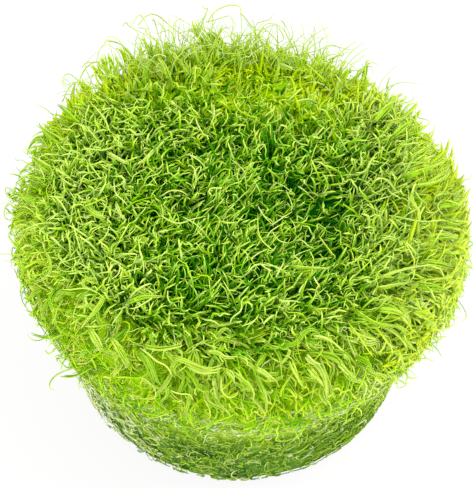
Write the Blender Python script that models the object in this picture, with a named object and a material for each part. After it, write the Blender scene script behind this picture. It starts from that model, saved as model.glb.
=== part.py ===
# Tissue culture bladderwort: a round plug of the plant as it is lifted out of its cup.
# A mat of runners keeps the shape of the cup, a turf of leaves stands on it and spreads past it,
# and strap leaves and loose runners hang out of the turf all round, over the mat's wall.
# Origin: centre of the flat base. +Z up, -Y is the front.

import math
import random

import bmesh
import bpy
from mathutils import Vector

MM = 0.001
SEED = 11
TURN = 2 * math.pi
UP = Vector((0.0, 0.0, 1.0))

# The mat, moulded by the cup
BASE_RADIUS = 36.5 * MM  # where the wall's line meets the floor
BASE_EDGE = 4.0 * MM  # rounding between floor and wall
BASE_EDGE_STEPS = 3
WALL_RADIUS = 43.5 * MM  # at the top of the mat
WALL_ROWS = 4
MAT_HEIGHT = 38.0 * MM
MAT_SIDES = 32
WALL_LUMP = 0.35 * MM
LUMP_WAVES = ((5, 90.0, 1.0), (11, -160.0, 0.7))  # turns of a wave round, up, and its share

# Runners that the cup pressed into the mat's wall
STRAND_COUNT = 11
STRAND_DIAMETER = 1.6 * MM
STRAND_SPAN = math.radians(58)  # round the wall
STRAND_SPAN_SHARES = (0.75, 1.2)
STRAND_CLIMBS = (-5.0 * MM, 8.0 * MM)
STRAND_WAVE = 2.0 * MM
STRAND_TWISTS = 5.0
STRAND_TIP = 0.35  # thickness at both ends, as a share
STRAND_STEPS = 6
STRAND_STRIDE = 5  # places that neighbouring strands lie apart in height

# The turf, a thick cushion of leaves on the mat
SEAT_GAP = 0.3 * MM
TURF_OVERHANG = 0.2 * MM  # past the top of the wall
TURF_THICKNESS = 16.0 * MM
TURF_BELLY = 6.0 * MM  # from its underside up to where it is widest
TURF_UNDERCUT = 2.2 * MM  # from there in to its lower edge
TURF_SHOULDER = 10.0 * MM  # width of the rounded edge on top
TURF_SIDES = 28
TURF_EDGE_STEPS = 3
TURF_TOP_RINGS = 3
CROWN_LEAN = 0.04  # share by which the crown is longer one way than the other
CROWN_LEAN_DIRECTION = math.radians(130)
HOLLOW_CENTRE = Vector((14.0 * MM, -7.0 * MM, 0.0))  # where the leaves part
HOLLOW_RADIUS = 17.0 * MM
HOLLOW_DEPTH = 5.0 * MM

# Locks of leaves: one body up to the fork, then free points
LOCK_SPACING = 14.2 * MM  # round a row
LOCK_ROW_STEP = 10.4 * MM
LOCK_CLEARANCE = 2.8 * MM  # of the first row above the skirt's roots
LOCK_PATH_STEPS = 12  # of the shoulder, for measuring along it
LOCK_LENGTH = 14.0 * MM
LOCK_LENGTH_SHARES = (0.82, 1.05)
LOCK_RIM_LENGTH = 5.6 * MM
LOCK_SUNK = 2.5 * MM  # length in the turf
LOCK_FORK = 0.42  # share of the length
LOCK_TIPS = 3
LOCK_ROOT_WIDTH = 8.0 * MM
LOCK_FORK_WIDTH = 11.5 * MM
LOCK_TIP_WIDTH = 14.0 * MM
LOCK_THICKNESS = 1.3 * MM
LOCK_ARCH = 1.4 * MM  # rise of its middle over its edges
LOCK_DROOPS = (math.radians(15), math.radians(50))
RISE_AT_PARTING = math.radians(68)
RISE_AT_RIM = math.radians(36)
COMBED_TURN = math.radians(12)  # how far locks stray on the right
TANGLED_TURN = math.radians(50)  # and on the left
LOCK_SHIFT = 0.2  # share of the spacing

# The hem: a last row of locks that hangs from the turf's lower edge, over the mat
HEM_LOCKS = 19
HEM_BEND = math.radians(60)  # up the turf's rounded lower edge
HEM_RISE = math.radians(-50)
HEM_DROOPS = (math.radians(30), math.radians(45))
HEM_LENGTH = 9.6 * MM

# The skirt: strap leaves and loose runners in equal slots round the turf's side
SKIRT_SLOTS = 38
RUNNER_EVERY = 5  # each fifth slot holds a runner
SKIRT_HEIGHT = 7.6 * MM  # of the roots above the turf's underside
SOCKET_DEPTH = 3.0 * MM
SOCKET_RISE = math.radians(14)
COLLAR = 1.6 * MM  # straight stretch outside the socket
SIDE_DRIFT = 0.22  # sideways bend, as a share of the slot's width

LEAF_LENGTH = 15.0 * MM
LEAF_LENGTH_SHARES = (0.7, 1.0)
LEAF_ARC = 3.2 * MM  # radius of its bend over the rim
LEAF_FALLS = (math.radians(78), math.radians(92))
LEAF_WIDTH = 2.4 * MM
LEAF_WIDTH_SHARES = (0.8, 1.0)
LEAF_ROOT_WIDTH = 1.3 * MM
LEAF_THICKNESS = 0.8 * MM
LEAF_KEEL = 0.65  # share of the thickness that lies under the blade
LEAF_STEPS = 5

RUNNER_LENGTH = 23.0 * MM
RUNNER_LENGTH_SHARES = (0.75, 1.0)
RUNNER_ARC = 3.2 * MM
RUNNER_FALLS = (math.radians(80), math.radians(94))
RUNNER_DIAMETER = 0.9 * MM
RUNNER_TIP = 0.5
RUNNER_TWISTS = 5.5
RUNNER_STEPS = 8
RUNNER_SIDES = 4
BLADDER_LENGTH = 2.2 * MM
BLADDER_WIDTH = 1.4 * MM
BLADDER_BULGES = (0.35, 0.75)  # where a bladder is full, as shares of its length
BLADDER_STEMS = (0.45, 0.72)  # places along a runner, as shares of its length
BLADDER_DIP = math.radians(-45)

LEAF_GREEN = (0.33, 0.55, 0.03, 1.0)
TURF_GREEN = (0.20, 0.40, 0.02, 1.0)
MAT_GREEN = (0.22, 0.36, 0.09, 1.0)
RUNNER_GREEN = (0.45, 0.60, 0.16, 1.0)
SHARP_ANGLE = math.radians(42)


def clear_scene():
    for obj in list(bpy.data.objects):
        bpy.data.objects.remove(obj)


def plant_material(name, colour, roughness):
    material = bpy.data.materials.new(name)
    material.use_nodes = True
    shader = material.node_tree.nodes["Principled BSDF"]
    shader.inputs["Base Color"].default_value = colour
    shader.inputs["Roughness"].default_value = roughness
    shader.inputs["Metallic"].default_value = 0.0
    return material


def object_from(bm, name, material):
    # Flat triangles only, so that each union comes out the same every time.
    bmesh.ops.triangulate(bm, faces=bm.faces)
    bmesh.ops.recalc_face_normals(bm, faces=bm.faces)
    mesh = bpy.data.meshes.new(name)
    bm.to_mesh(mesh)
    bm.free()
    mesh.shade_smooth()
    mesh.set_sharp_from_angle(angle=SHARP_ANGLE)
    mesh.materials.append(material)
    obj = bpy.data.objects.new(name, mesh)
    bpy.context.scene.collection.objects.link(obj)
    return obj


def helper_from(bm, name, material):
    helper = object_from(bm, name, material)
    helper.hide_render = True
    helper.display_type = "WIRE"
    return helper


def add_boolean(obj, other, operation):
    modifier = obj.modifiers.new(f"{operation.lower()}_{other.name}", "BOOLEAN")
    modifier.operation = operation
    modifier.object = other
    modifier.solver = "EXACT"
    modifier.use_self = True


def mix(low, high, share):
    return low + (high - low) * share


def shares(steps):
    return [i / steps for i in range(steps + 1)]


def direction(heading, rise):
    flat = Vector((math.cos(heading), math.sin(heading), 0.0))
    return flat * math.cos(rise) + UP * math.sin(rise)


def loft(bm, rings, start=None, end=None):
    # A closed skin over rings of points. Each end is flat, or runs out to a point if one is given.
    loops = [[bm.verts.new(point) for point in ring] for ring in rings]
    count = len(loops[0])
    for near, far in zip(loops, loops[1:]):
        for i in range(count):
            j = (i + 1) % count
            bm.faces.new((near[i], near[j], far[j], far[i]))
    for loop, point in ((loops[0], start), (loops[-1], end)):
        if point is None:
            bm.faces.new(loop)
            continue
        pole = bm.verts.new(point)
        for i in range(count):
            bm.faces.new((loop[i], loop[(i + 1) % count], pole))


def turned(profile, sides):
    # Spins (radius, height) points about +Z. Both ends lie on the axis.
    bm = bmesh.new()
    line = [bm.verts.new((radius, 0.0, height)) for radius, height in profile]
    edges = [bm.edges.new(pair) for pair in zip(line, line[1:])]
    centre = (0.0, 0.0, 0.0)
    bmesh.ops.spin(bm, geom=line + edges, cent=centre, axis=UP, angle=TURN, steps=sides)
    bmesh.ops.remove_doubles(bm, verts=bm.verts, dist=0.001 * MM)
    return bm


def travel(path):
    # The direction of travel at each point of a path.
    last = len(path) - 1
    return [(path[min(i + 1, last)] - path[max(i - 1, 0)]).normalized() for i in range(last + 1)]


def tube_rings(path, radii, sides, reference, first=0.0):
    # The path never runs along the reference, so the tube doesn't twist.
    rings = []
    for point, heading, radius in zip(path, travel(path), radii):
        across = (reference - heading * heading.dot(reference)).normalized()
        over = across.cross(heading)
        turns = [first + TURN * i / sides for i in range(sides)]
        rings.append([point + radius * (math.cos(t) * across + math.sin(t) * over) for t in turns])
    return rings


# The mat


def wall_radius(height):
    return mix(BASE_RADIUS, WALL_RADIUS, height / MAT_HEIGHT)


def wall_lump(angle, height):
    # Low swellings of the felt, which fade out at the floor and at the turf.
    fade = math.sin(math.pi * min(max(height / MAT_HEIGHT, 0.0), 1.0))
    waves = [share * math.sin(turns * angle + climb * height) for turns, climb, share in LUMP_WAVES]
    return WALL_LUMP * fade * sum(waves)


def wall_point(angle, height):
    radius = wall_radius(height) + wall_lump(angle, height)
    return Vector((radius * math.cos(angle), radius * math.sin(angle), height))


def mat_profile():
    floor_radius = wall_radius(BASE_EDGE) - BASE_EDGE
    bends = [math.pi / 2 * share for share in shares(BASE_EDGE_STEPS)]
    edge = [
        (floor_radius + BASE_EDGE * math.sin(bend), BASE_EDGE * (1 - math.cos(bend)))
        for bend in bends
    ]
    heights = [mix(BASE_EDGE, MAT_HEIGHT, share) for share in shares(WALL_ROWS)[1:]]
    wall = [(wall_radius(height), height) for height in heights]
    return [(0.0, 0.0)] + edge + wall + [(0.0, MAT_HEIGHT)]


def make_mat(material):
    bm = turned(mat_profile(), MAT_SIDES)
    for vertex in bm.verts:
        x, y, height = vertex.co
        if 0.0 < height < MAT_HEIGHT:
            angle = math.atan2(y, x)
            vertex.co += direction(angle, 0.0) * wall_lump(angle, height)
    return object_from(bm, "runner_mat", material)


def make_strands(material, chance):
    # Half of each strand lies in the felt, as the cup's wall pressed it.
    bm = bmesh.new()
    margin = BASE_EDGE + STRAND_WAVE + STRAND_DIAMETER
    for k in range(STRAND_COUNT):
        start = TURN * k / STRAND_COUNT
        span = STRAND_SPAN * chance.uniform(*STRAND_SPAN_SHARES)
        level = (k * STRAND_STRIDE) % STRAND_COUNT / STRAND_COUNT
        climb = chance.uniform(*STRAND_CLIMBS)
        phase = chance.uniform(0, TURN)
        path, radii = [], []
        for share in shares(STRAND_STEPS):
            height = mix(margin, MAT_HEIGHT - margin, level) + climb * (share - level)
            height += STRAND_WAVE * math.sin(phase + STRAND_TWISTS * share)
            path.append(wall_point(start + span * share, height))
            radii.append(STRAND_DIAMETER / 2 * mix(STRAND_TIP, 1, math.sin(math.pi * share)))
        loft(bm, tube_rings(path, radii, 3, UP, first=-math.pi / 2))
    return helper_from(bm, "pressed_strands", material)


# The turf


def turf_floor():
    return MAT_HEIGHT + SEAT_GAP


def turf_radius():
    return WALL_RADIUS + TURF_OVERHANG


def crown_outline(angle):
    # The crown is a little longer towards the back left and the front right.
    return 1 + CROWN_LEAN * math.cos(angle - CROWN_LEAN_DIRECTION) ** 2


def shoulder_point(bend):
    # (radius, height) on the rounded edge, from its foot at 0 up to a quarter turn.
    radius = turf_radius() - TURF_SHOULDER * (1 - math.cos(bend))
    return radius, mix(TURF_BELLY, TURF_THICKNESS, math.sin(bend))


def belly_point(bend):
    # (radius, height) on the rounded lower edge, from the underside at 0 up to a quarter turn.
    radius = turf_radius() - TURF_UNDERCUT * (1 - math.sin(bend))
    return radius, TURF_BELLY * (1 - math.cos(bend))


def turf_profile():
    bends = [math.pi / 2 * share for share in shares(TURF_EDGE_STEPS)]
    belly = [belly_point(bend) for bend in bends]
    shoulder = [shoulder_point(bend) for bend in bends[1:]]
    flat = turf_radius() - TURF_SHOULDER
    top = [(flat * share, TURF_THICKNESS) for share in shares(TURF_TOP_RINGS)[-2::-1]]
    return [(0.0, 0.0)] + belly + shoulder + top


def hollow(x, y):
    # How far the top is sunk at this place.
    away = math.hypot(x - HOLLOW_CENTRE.x, y - HOLLOW_CENTRE.y)
    return HOLLOW_DEPTH * math.exp(-((away / HOLLOW_RADIUS) ** 2))


def turf_place(radius, height, angle):
    # From the plain turned profile to the leaning crown with its hollow.
    reach = radius * mix(1, crown_outline(angle), min(radius / turf_radius(), 1.0))
    x, y = reach * math.cos(angle), reach * math.sin(angle)
    sunk = hollow(x, y) * min(height / TURF_THICKNESS, 1.0) ** 2
    return Vector((x, y, turf_floor() + height - sunk))


def make_turf_cushion(material):
    bm = turned(turf_profile(), TURF_SIDES)
    for vertex in bm.verts:
        x, y, height = vertex.co
        vertex.co = turf_place(math.hypot(x, y), height, math.atan2(y, x))
    return object_from(bm, "leaf_turf", material)


def lock_rows():
    # (radius, height) of each row, one step apart up the shoulder and in over the top.
    lift = SKIRT_HEIGHT + LOCK_CLEARANCE - TURF_BELLY
    first = math.asin(lift / (TURF_THICKNESS - TURF_BELLY))
    bends = [mix(first, math.pi / 2, share) for share in shares(LOCK_PATH_STEPS)]
    path = [shoulder_point(bend) for bend in bends] + [(0.0, TURF_THICKNESS)]
    rows, left = [], 0.0
    for (r0, z0), (r1, z1) in zip(path, path[1:]):
        length = math.hypot(r1 - r0, z1 - z0)
        while left <= length:
            rows.append((mix(r0, r1, left / length), mix(z0, z1, left / length)))
            left += LOCK_ROW_STEP
        left -= length
    return rows


def add_lock(bm, place, heading, rise, length, droops, chance):
    # Flat above and below and arched across, with its free points fanned out and bent down.
    side = direction(heading, 0.0).cross(UP)
    root = place - direction(heading, rise) * LOCK_SUNK
    fork = place + direction(heading, rise) * length * LOCK_FORK
    rows = []
    for centre, width in ((root, LOCK_ROOT_WIDTH), (fork, LOCK_FORK_WIDTH)):
        over = direction(heading, rise + math.pi / 2)
        line = []
        for share in shares(LOCK_TIPS):
            arch = LOCK_ARCH * (1 - (2 * share - 1) ** 2)
            point = centre + side * width * (share - 0.5) + over * arch
            line.append((bm.verts.new(point), bm.verts.new(point - over * LOCK_THICKNESS)))
        rows.append(line)
    low, high = rows  # each point with the one under it
    tips = []
    for k in range(LOCK_TIPS):
        share = (k + 0.5) / LOCK_TIPS - 0.5
        reach = length * (1 - LOCK_FORK) * chance.uniform(*LOCK_LENGTH_SHARES)
        ahead = direction(heading, rise - chance.uniform(*droops))
        tips.append(bm.verts.new(fork + ahead * reach + side * LOCK_TIP_WIDTH * share))
    for k, tip in enumerate(tips):
        (low_a, low_b), (low_c, low_d) = low[k], low[k + 1]
        (high_a, high_b), (high_c, high_d) = high[k], high[k + 1]
        bm.faces.new((low_a, low_c, high_c, high_a))
        bm.faces.new((low_b, low_d, high_d, high_b))
        bm.faces.new((low_a, low_c, low_d, low_b))
        for near, far in ((high_a, high_c), (high_c, high_d), (high_d, high_b), (high_b, high_a)):
            bm.faces.new((near, far, tip))
    for (low_a, low_b), (high_a, high_b) in ((low[0], high[0]), (low[-1], high[-1])):
        bm.faces.new((low_a, low_b, high_b, high_a))


def make_locks(material, chance):
    # Combed away from the parting on the right, tangled on the left.
    bm = bmesh.new()
    for row, (radius, height) in enumerate(lock_rows()):
        count = max(1, round(TURN * radius / LOCK_SPACING))
        for k in range(count):
            shift = row % 2 / 2 + chance.uniform(-LOCK_SHIFT, LOCK_SHIFT)
            place = turf_place(radius, height, TURN * (k + shift) / count)
            away = place - HOLLOW_CENTRE
            left = min(max(0.5 - away.x / (2 * HOLLOW_RADIUS), 0.0), 1.0)
            stray = mix(COMBED_TURN, TANGLED_TURN, left) * (1 - radius / turf_radius() / 2)
            heading = math.atan2(away.y, away.x) + chance.uniform(-stray, stray)
            outer = min(away.to_2d().length / turf_radius(), 1.0)
            rise = mix(RISE_AT_PARTING, RISE_AT_RIM, outer)
            length = mix(LOCK_LENGTH, LOCK_RIM_LENGTH, outer**2)
            add_lock(bm, place, heading, rise, length, LOCK_DROOPS, chance)
    for k in range(HEM_LOCKS):
        heading = TURN * (k + chance.uniform(-LOCK_SHIFT, LOCK_SHIFT)) / HEM_LOCKS
        place = turf_place(*belly_point(HEM_BEND), heading)
        add_lock(bm, place, heading, HEM_RISE, HEM_LENGTH, HEM_DROOPS, chance)
    return helper_from(bm, "locks", material)


# The skirt


def slot_width():
    return TURN * turf_radius() / SKIRT_SLOTS


def hanging_path(place, angle, length, arc, fall, drift, wave, steps):
    # Straight out of its socket, over an arc, then down.
    aim = direction(angle, SOCKET_RISE)
    path = [place - aim * (SOCKET_DEPTH - SEAT_GAP), place + aim * COLLAR]
    side = direction(angle, 0.0).cross(UP)
    step = length / steps
    for i in range(steps):
        share = (i + 0.5) / steps
        rise = max(SOCKET_RISE - share * length / arc, -fall)
        sideways = (drift + wave * math.cos(RUNNER_TWISTS * share)) / steps
        path.append(path[-1] + direction(angle, rise) * step + side * sideways)
    return path


def leaf_rings(path, widths, side):
    rings = []
    for point, heading, width in zip(path, travel(path), widths):
        across = (side - heading * heading.dot(side)).normalized() * width / 2
        over = across.normalized().cross(heading) * LEAF_THICKNESS
        crown, keel = point + over * (1 - LEAF_KEEL), point - over * LEAF_KEEL
        rings.append([point + across, crown, point - across, keel])
    return rings


def make_strap_leaf(number, place, angle, material, chance):
    length = LEAF_LENGTH * chance.uniform(*LEAF_LENGTH_SHARES)
    fall = chance.uniform(*LEAF_FALLS)
    drift = slot_width() * SIDE_DRIFT * chance.uniform(-1, 1)
    path = hanging_path(place, angle, length, LEAF_ARC, fall, drift, 0.0, LEAF_STEPS)
    broad = LEAF_WIDTH * chance.uniform(*LEAF_WIDTH_SHARES)
    swells = [math.sin(math.pi * share) ** 0.5 for share in shares(LEAF_STEPS)[1:-1]]
    widths = [LEAF_ROOT_WIDTH] * 2 + [mix(LEAF_ROOT_WIDTH, broad, swell) for swell in swells]
    bm = bmesh.new()
    loft(bm, leaf_rings(path, widths, direction(angle, 0.0).cross(UP)), end=path[-1])
    return object_from(bm, f"strap_leaf_{number:02d}", material)


def add_bladder(bm, place, heading):
    # A trap: a small flattened pear on the runner.
    path = [place + heading * BLADDER_LENGTH * share for share in (0.0, *BLADDER_BULGES, 1.0)]
    radii = [BLADDER_WIDTH / 2] * len(path)
    rings = tube_rings(path, radii, RUNNER_SIDES, UP)
    loft(bm, rings[1:-1], start=path[0], end=path[-1])


def make_runner(number, place, angle, material, chance):
    length = RUNNER_LENGTH * chance.uniform(*RUNNER_LENGTH_SHARES)
    fall = chance.uniform(*RUNNER_FALLS)
    drift = slot_width() * SIDE_DRIFT * chance.uniform(-1, 1)
    wave = slot_width() * SIDE_DRIFT * 2 * chance.choice((-1, 1))
    path = hanging_path(place, angle, length, RUNNER_ARC, fall, drift, wave, RUNNER_STEPS)
    thins = [0.0] + shares(RUNNER_STEPS)
    radii = [RUNNER_DIAMETER / 2 * mix(1, RUNNER_TIP, thin) for thin in thins]
    side = direction(angle, 0.0).cross(UP)
    bm = bmesh.new()
    loft(bm, tube_rings(path, radii, RUNNER_SIDES, side))
    runner = object_from(bm, f"runner_{number:02d}", material)
    traps = bmesh.new()
    for turn, share in zip((1, -1), BLADDER_STEMS):
        stem = path[1 + round(share * RUNNER_STEPS)]
        add_bladder(traps, stem, (direction(angle, BLADDER_DIP) + side * turn / 2).normalized())
    add_boolean(runner, helper_from(traps, f"bladders_{number:02d}", material), "UNION")


def add_socket(bm, place, angle, width, thickness):
    # The clearance that a root needs, from the bottom of its socket to clear of the turf.
    aim = direction(angle, SOCKET_RISE)
    over = direction(angle, SOCKET_RISE + math.pi / 2) * (thickness / 2 + SEAT_GAP)
    across = direction(angle, 0.0).cross(UP) * (width / 2 + SEAT_GAP)
    corners = (across + over, over - across, -across - over, across - over)
    ends = (place - aim * SOCKET_DEPTH, place + aim * COLLAR)
    loft(bm, [[end + corner for corner in corners] for end in ends])


def make_skirt(leaf_material, runner_material, chance):
    # Makes the hanging pieces and returns the sockets that the turf needs for them.
    sockets = bmesh.new()
    leaves = runners = 0
    for k in range(SKIRT_SLOTS):
        angle = TURN * k / SKIRT_SLOTS
        place = turf_place(turf_radius(), SKIRT_HEIGHT, angle)
        if k % RUNNER_EVERY == RUNNER_EVERY - 1:
            runners += 1
            make_runner(runners, place, angle, runner_material, chance)
            add_socket(sockets, place, angle, RUNNER_DIAMETER, RUNNER_DIAMETER)
        else:
            leaves += 1
            make_strap_leaf(leaves, place, angle, leaf_material, chance)
            add_socket(sockets, place, angle, LEAF_ROOT_WIDTH, 2 * LEAF_KEEL * LEAF_THICKNESS)
    return helper_from(sockets, "root_sockets", leaf_material)


def main():
    clear_scene()
    chance = random.Random(SEED)
    mat_green = plant_material("runner_mat", MAT_GREEN, 0.55)
    turf_green = plant_material("leaf_turf", TURF_GREEN, 0.45)
    leaf_green = plant_material("strap_leaf", LEAF_GREEN, 0.4)
    runner_green = plant_material("runner", RUNNER_GREEN, 0.4)

    mat = make_mat(mat_green)
    add_boolean(mat, make_strands(mat_green, chance), "UNION")
    turf = make_turf_cushion(turf_green)
    add_boolean(turf, make_locks(turf_green, chance), "UNION")
    add_boolean(turf, make_skirt(leaf_green, runner_green, chance), "DIFFERENCE")


main()
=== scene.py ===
import math

import bpy
import numpy as np
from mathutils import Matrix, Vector


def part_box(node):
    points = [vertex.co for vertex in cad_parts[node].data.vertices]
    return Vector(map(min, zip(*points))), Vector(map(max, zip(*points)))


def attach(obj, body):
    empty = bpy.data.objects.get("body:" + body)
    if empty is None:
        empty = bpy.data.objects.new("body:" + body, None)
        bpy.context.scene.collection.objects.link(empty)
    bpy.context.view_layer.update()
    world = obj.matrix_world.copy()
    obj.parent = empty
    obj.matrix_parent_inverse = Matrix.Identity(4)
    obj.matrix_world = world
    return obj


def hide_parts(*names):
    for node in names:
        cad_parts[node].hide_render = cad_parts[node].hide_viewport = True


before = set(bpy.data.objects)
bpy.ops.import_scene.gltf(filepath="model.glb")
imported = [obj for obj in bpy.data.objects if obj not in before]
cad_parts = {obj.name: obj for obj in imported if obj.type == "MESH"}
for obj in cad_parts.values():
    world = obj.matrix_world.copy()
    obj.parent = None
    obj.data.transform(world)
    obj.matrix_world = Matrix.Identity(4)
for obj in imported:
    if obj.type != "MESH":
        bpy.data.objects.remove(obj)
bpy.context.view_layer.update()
print("frame loaded,", len(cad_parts), "solids")

mm = 0.001
fullTurn = 2 * math.pi
upward = np.array([0, 0, 1.0])
mapName = "OFBake"
mapColumns = 40  # strips of the map, from the darkest tint to the palest
strandSides = 3  # few, because there are many thousand strands
mapMargin = (0.06, 0.01)  # kept clear at the sides and the ends of a strip

# the plug's own form, in mm, as the solids have it
plug = {
    "baseRadius": 36.5,
    "wallRadius": 43.5,
    "matHeight": 38.0,
    "bedTop": 53.4,
    "bedRadius": 46.0,
    "bedShoulder": 9.0,
    "flankDraw": 0.2,
    "backRise": 2.8,
    "backSlope": (8, 40),
    "lean": 0.04,
    "leanDirection": 130.0,
    "hollowCentre": (14.0, -7.0),
    "hollowRadius": 18.0,
    "hollowDepth": 7.0,
    "highest": 62.0,
    "widest": 54.3,
    "lowest": 0.35,
}
# where the crown's outline draws in, or stands out below 0: mm, towards which side, over how many degrees
bays = ((1.6, -152, 24), (3.6, 50, 24), (-1.6, 132, 22))
# how softly strands turn back at the outline, the top and the hem, in mm
give = {"edge": 5, "top": 3, "hem": 2}

# how the leaves lie: over the middle they lean one way, towards the rim they turn outward
lie = {
    "flow": 24.0, "turnsFrom": 20.0, "turnsTo": 45.0, "outward": 0.74,
    "waver": 0.35, "waverSize": 26, "waverSeed": 8,
}

# the photograph's frame and the camera that fits it, in mm
shot = {
    "width": 473,
    "height": 488,
    "focal": 1501.0,
    "distance": 330.0,
    "elevation": 49.6,
    "aim": (-0.5, 0.0, 39.5),
    "sensor": 36,
}


def colour(red, green, blue):
    parts = [c / 255 for c in (red, green, blue)]
    return tuple(c / 12.92 if c <= 0.04045 else ((c + 0.055) / 1.055) ** 2.4 for c in parts) + (1.0,)


def stops(rows):
    return [(row[0], colour(*row[1:])) for row in rows]


# a socket of a shader, so that sums on it add their own nodes
class Wire:
    def __init__(self, tree, socket=None):
        self.tree = tree
        self.socket = socket

    def add(self, kind, settings=None, inputs=None, out=0):
        node = self.tree.nodes.new(kind)
        for key, value in (settings or {}).items():
            if key == "stops":
                marks = node.color_ramp.elements
                while len(marks) < len(value):
                    marks.new(0.5)
                for mark, (place, tone) in zip(marks, value):
                    mark.position = place
                    mark.color = tone
            else:
                setattr(node, key, value)
        for key, value in (inputs or {}).items():
            if isinstance(value, Wire):
                self.tree.links.new(value.socket, node.inputs[key])
            else:
                node.inputs[key].default_value = value
        return Wire(self.tree, node.outputs[out] if len(node.outputs) else None)

    def out(self, name):
        return Wire(self.tree, self.socket.node.outputs[name])

    def sum(self, operation, first, second=0.0):
        return self.add("ShaderNodeMath", {"operation": operation}, {0: first, 1: second})

    def __add__(self, other):
        return self.sum("ADD", self, other)

    __radd__ = __add__

    def __sub__(self, other):
        return self.sum("SUBTRACT", self, other)

    def __rsub__(self, other):
        return self.sum("SUBTRACT", other, self)

    def __mul__(self, other):
        return self.sum("MULTIPLY", self, other)

    __rmul__ = __mul__

    def __abs__(self):
        return self.sum("ABSOLUTE", self)

    def fraction(self):
        return self.sum("FRACT", self)

    def larger(self, other):
        return self.sum("MAXIMUM", self, other)

    def clamped(self, low, high):
        return self.add(
            "ShaderNodeMapRange",
            {"interpolation_type": "SMOOTHSTEP"},
            {"Value": self, "From Min": low, "From Max": high},
        )

    def blend(self, first, second):
        return self.add("ShaderNodeMix", {"data_type": "RGBA"}, {0: self, 6: first, 7: second}, 2)


def newMaterial(name):
    material = bpy.data.materials.new(name)
    material.use_nodes = True
    material.node_tree.nodes.clear()
    return material, Wire(material.node_tree)


def finishMaterial(wires, inputs):
    surface = wires.add("ShaderNodeBsdfPrincipled", {}, inputs)
    wires.add("ShaderNodeOutputMaterial", {}, {"Surface": surface})


# the fine pattern that all leaves and threads share, with where across a strand the painted edge highlight and its
# ridge begin, and how far even tints lose the painted shade at the root
leafPattern = {
    "acrossGrain": 1.7, "detail": 3.0, "roughness": 0.6, "mottled": (0.35, 0.7), "margin": (0.4, 1.0),
    "evenRoot": 0.9, "roughSpread": 0.25, "bumpDepth": 0.0002, "glowRadius": (0.8, 1.0, 0.2), "glowDepth": 0.0008,
}


# leaves and threads read their tint across the map, and root to tip along it; along it a painted shade darkens the
# root, for the shade down among the leaves
def leafMaterial(name, look):
    material, wires = newMaterial(name)
    place = wires.add("ShaderNodeUVMap", {"uv_map": mapName})
    tint = wires.add("ShaderNodeSeparateXYZ", {}, {"Vector": place})
    along = tint.out("Y")
    across = (tint * mapColumns).fraction()
    body = wires.add("ShaderNodeValToRGB", {"stops": stops(look["tints"])}, {"Fac": tint})
    grain = (mapColumns * leafPattern["acrossGrain"], look["grain"], 1.0)
    stretched = wires.add("ShaderNodeVectorMath", {"operation": "MULTIPLY"}, {0: place, 1: grain})
    mottle = wires.add("ShaderNodeTexNoise", {}, {
        "Vector": stretched, "Scale": 1.0, "Detail": leafPattern["detail"], "Roughness": leafPattern["roughness"],
    })
    # painted highlight: the pale colour towards the strands' edges stands for light glancing off their sides; the
    # same mask raises a real ridge in the bump
    margin = (abs(across - 0.5) * 2).clamped(*leafPattern["margin"])
    mottled = mottle.clamped(*leafPattern["mottled"]) * look["mottle"]
    tone = mottled.blend(body, colour(*look["mottleColour"]))
    tone = (margin * look["edge"]).blend(tone, colour(*look["edgeHighlightColour"]))
    # the paler tip is partly the leaves' own paler tips and partly a painted highlight where they reach up into the
    # light
    tip = along.clamped(look["tipFrom"], 1.0) * tint.clamped(*look["tipTints"]) * look["tip"]
    tone = tip.blend(tone, colour(*look["paleTipAndHighlightColour"]))
    # painted shade: each strand darkens towards its root colour, for the shade between the leaves; tints in the even
    # range keep most of their own colour there
    shaded = 1 - tint.clamped(*look["evenTints"]) * leafPattern["evenRoot"]
    lit = 1 - (1 - along.clamped(look["rootFrom"], look["rootTo"])) * shaded
    bump = wires.add("ShaderNodeBump", {}, {
        "Strength": look["bump"], "Distance": leafPattern["bumpDepth"], "Height": margin * 0.5 + mottle * 0.5,
    })
    finishMaterial(wires, {
        "Base Color": lit.blend(colour(*look["rootShadeColour"]), tone),
        "Roughness": mottle * leafPattern["roughSpread"] + look["roughness"],
        "Normal": bump,
        "Specular IOR Level": look["shine"],
        "Subsurface Weight": look["glow"],
        "Subsurface Radius": leafPattern["glowRadius"],
        "Subsurface Scale": leafPattern["glowDepth"],
    })
    return material


def switchTo(mode):
    bpy.ops.object.mode_set(mode=mode)


def deselect():
    if bpy.context.object and bpy.context.object.mode != "OBJECT":
        switchTo("OBJECT")
    bpy.ops.object.select_all(action="DESELECT")


# goes into edit mode with only those faces or corners selected that the test picks
def editPicked(body, kind, test):
    switchTo("EDIT")
    bpy.ops.mesh.select_mode(type=kind)
    bpy.ops.mesh.select_all(action="DESELECT")
    switchTo("OBJECT")
    for item in body.data.polygons if kind == "FACE" else body.data.vertices:
        item.select = test(item)
    switchTo("EDIT")


# the corners and faces of a finished model, which itself goes
def takeApart(body):
    spots = np.array([v.co for v in body.data.vertices])
    faces = np.array([f.vertices[:] for f in body.data.polygons])
    bpy.data.objects.remove(body)
    return spots, faces


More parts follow.
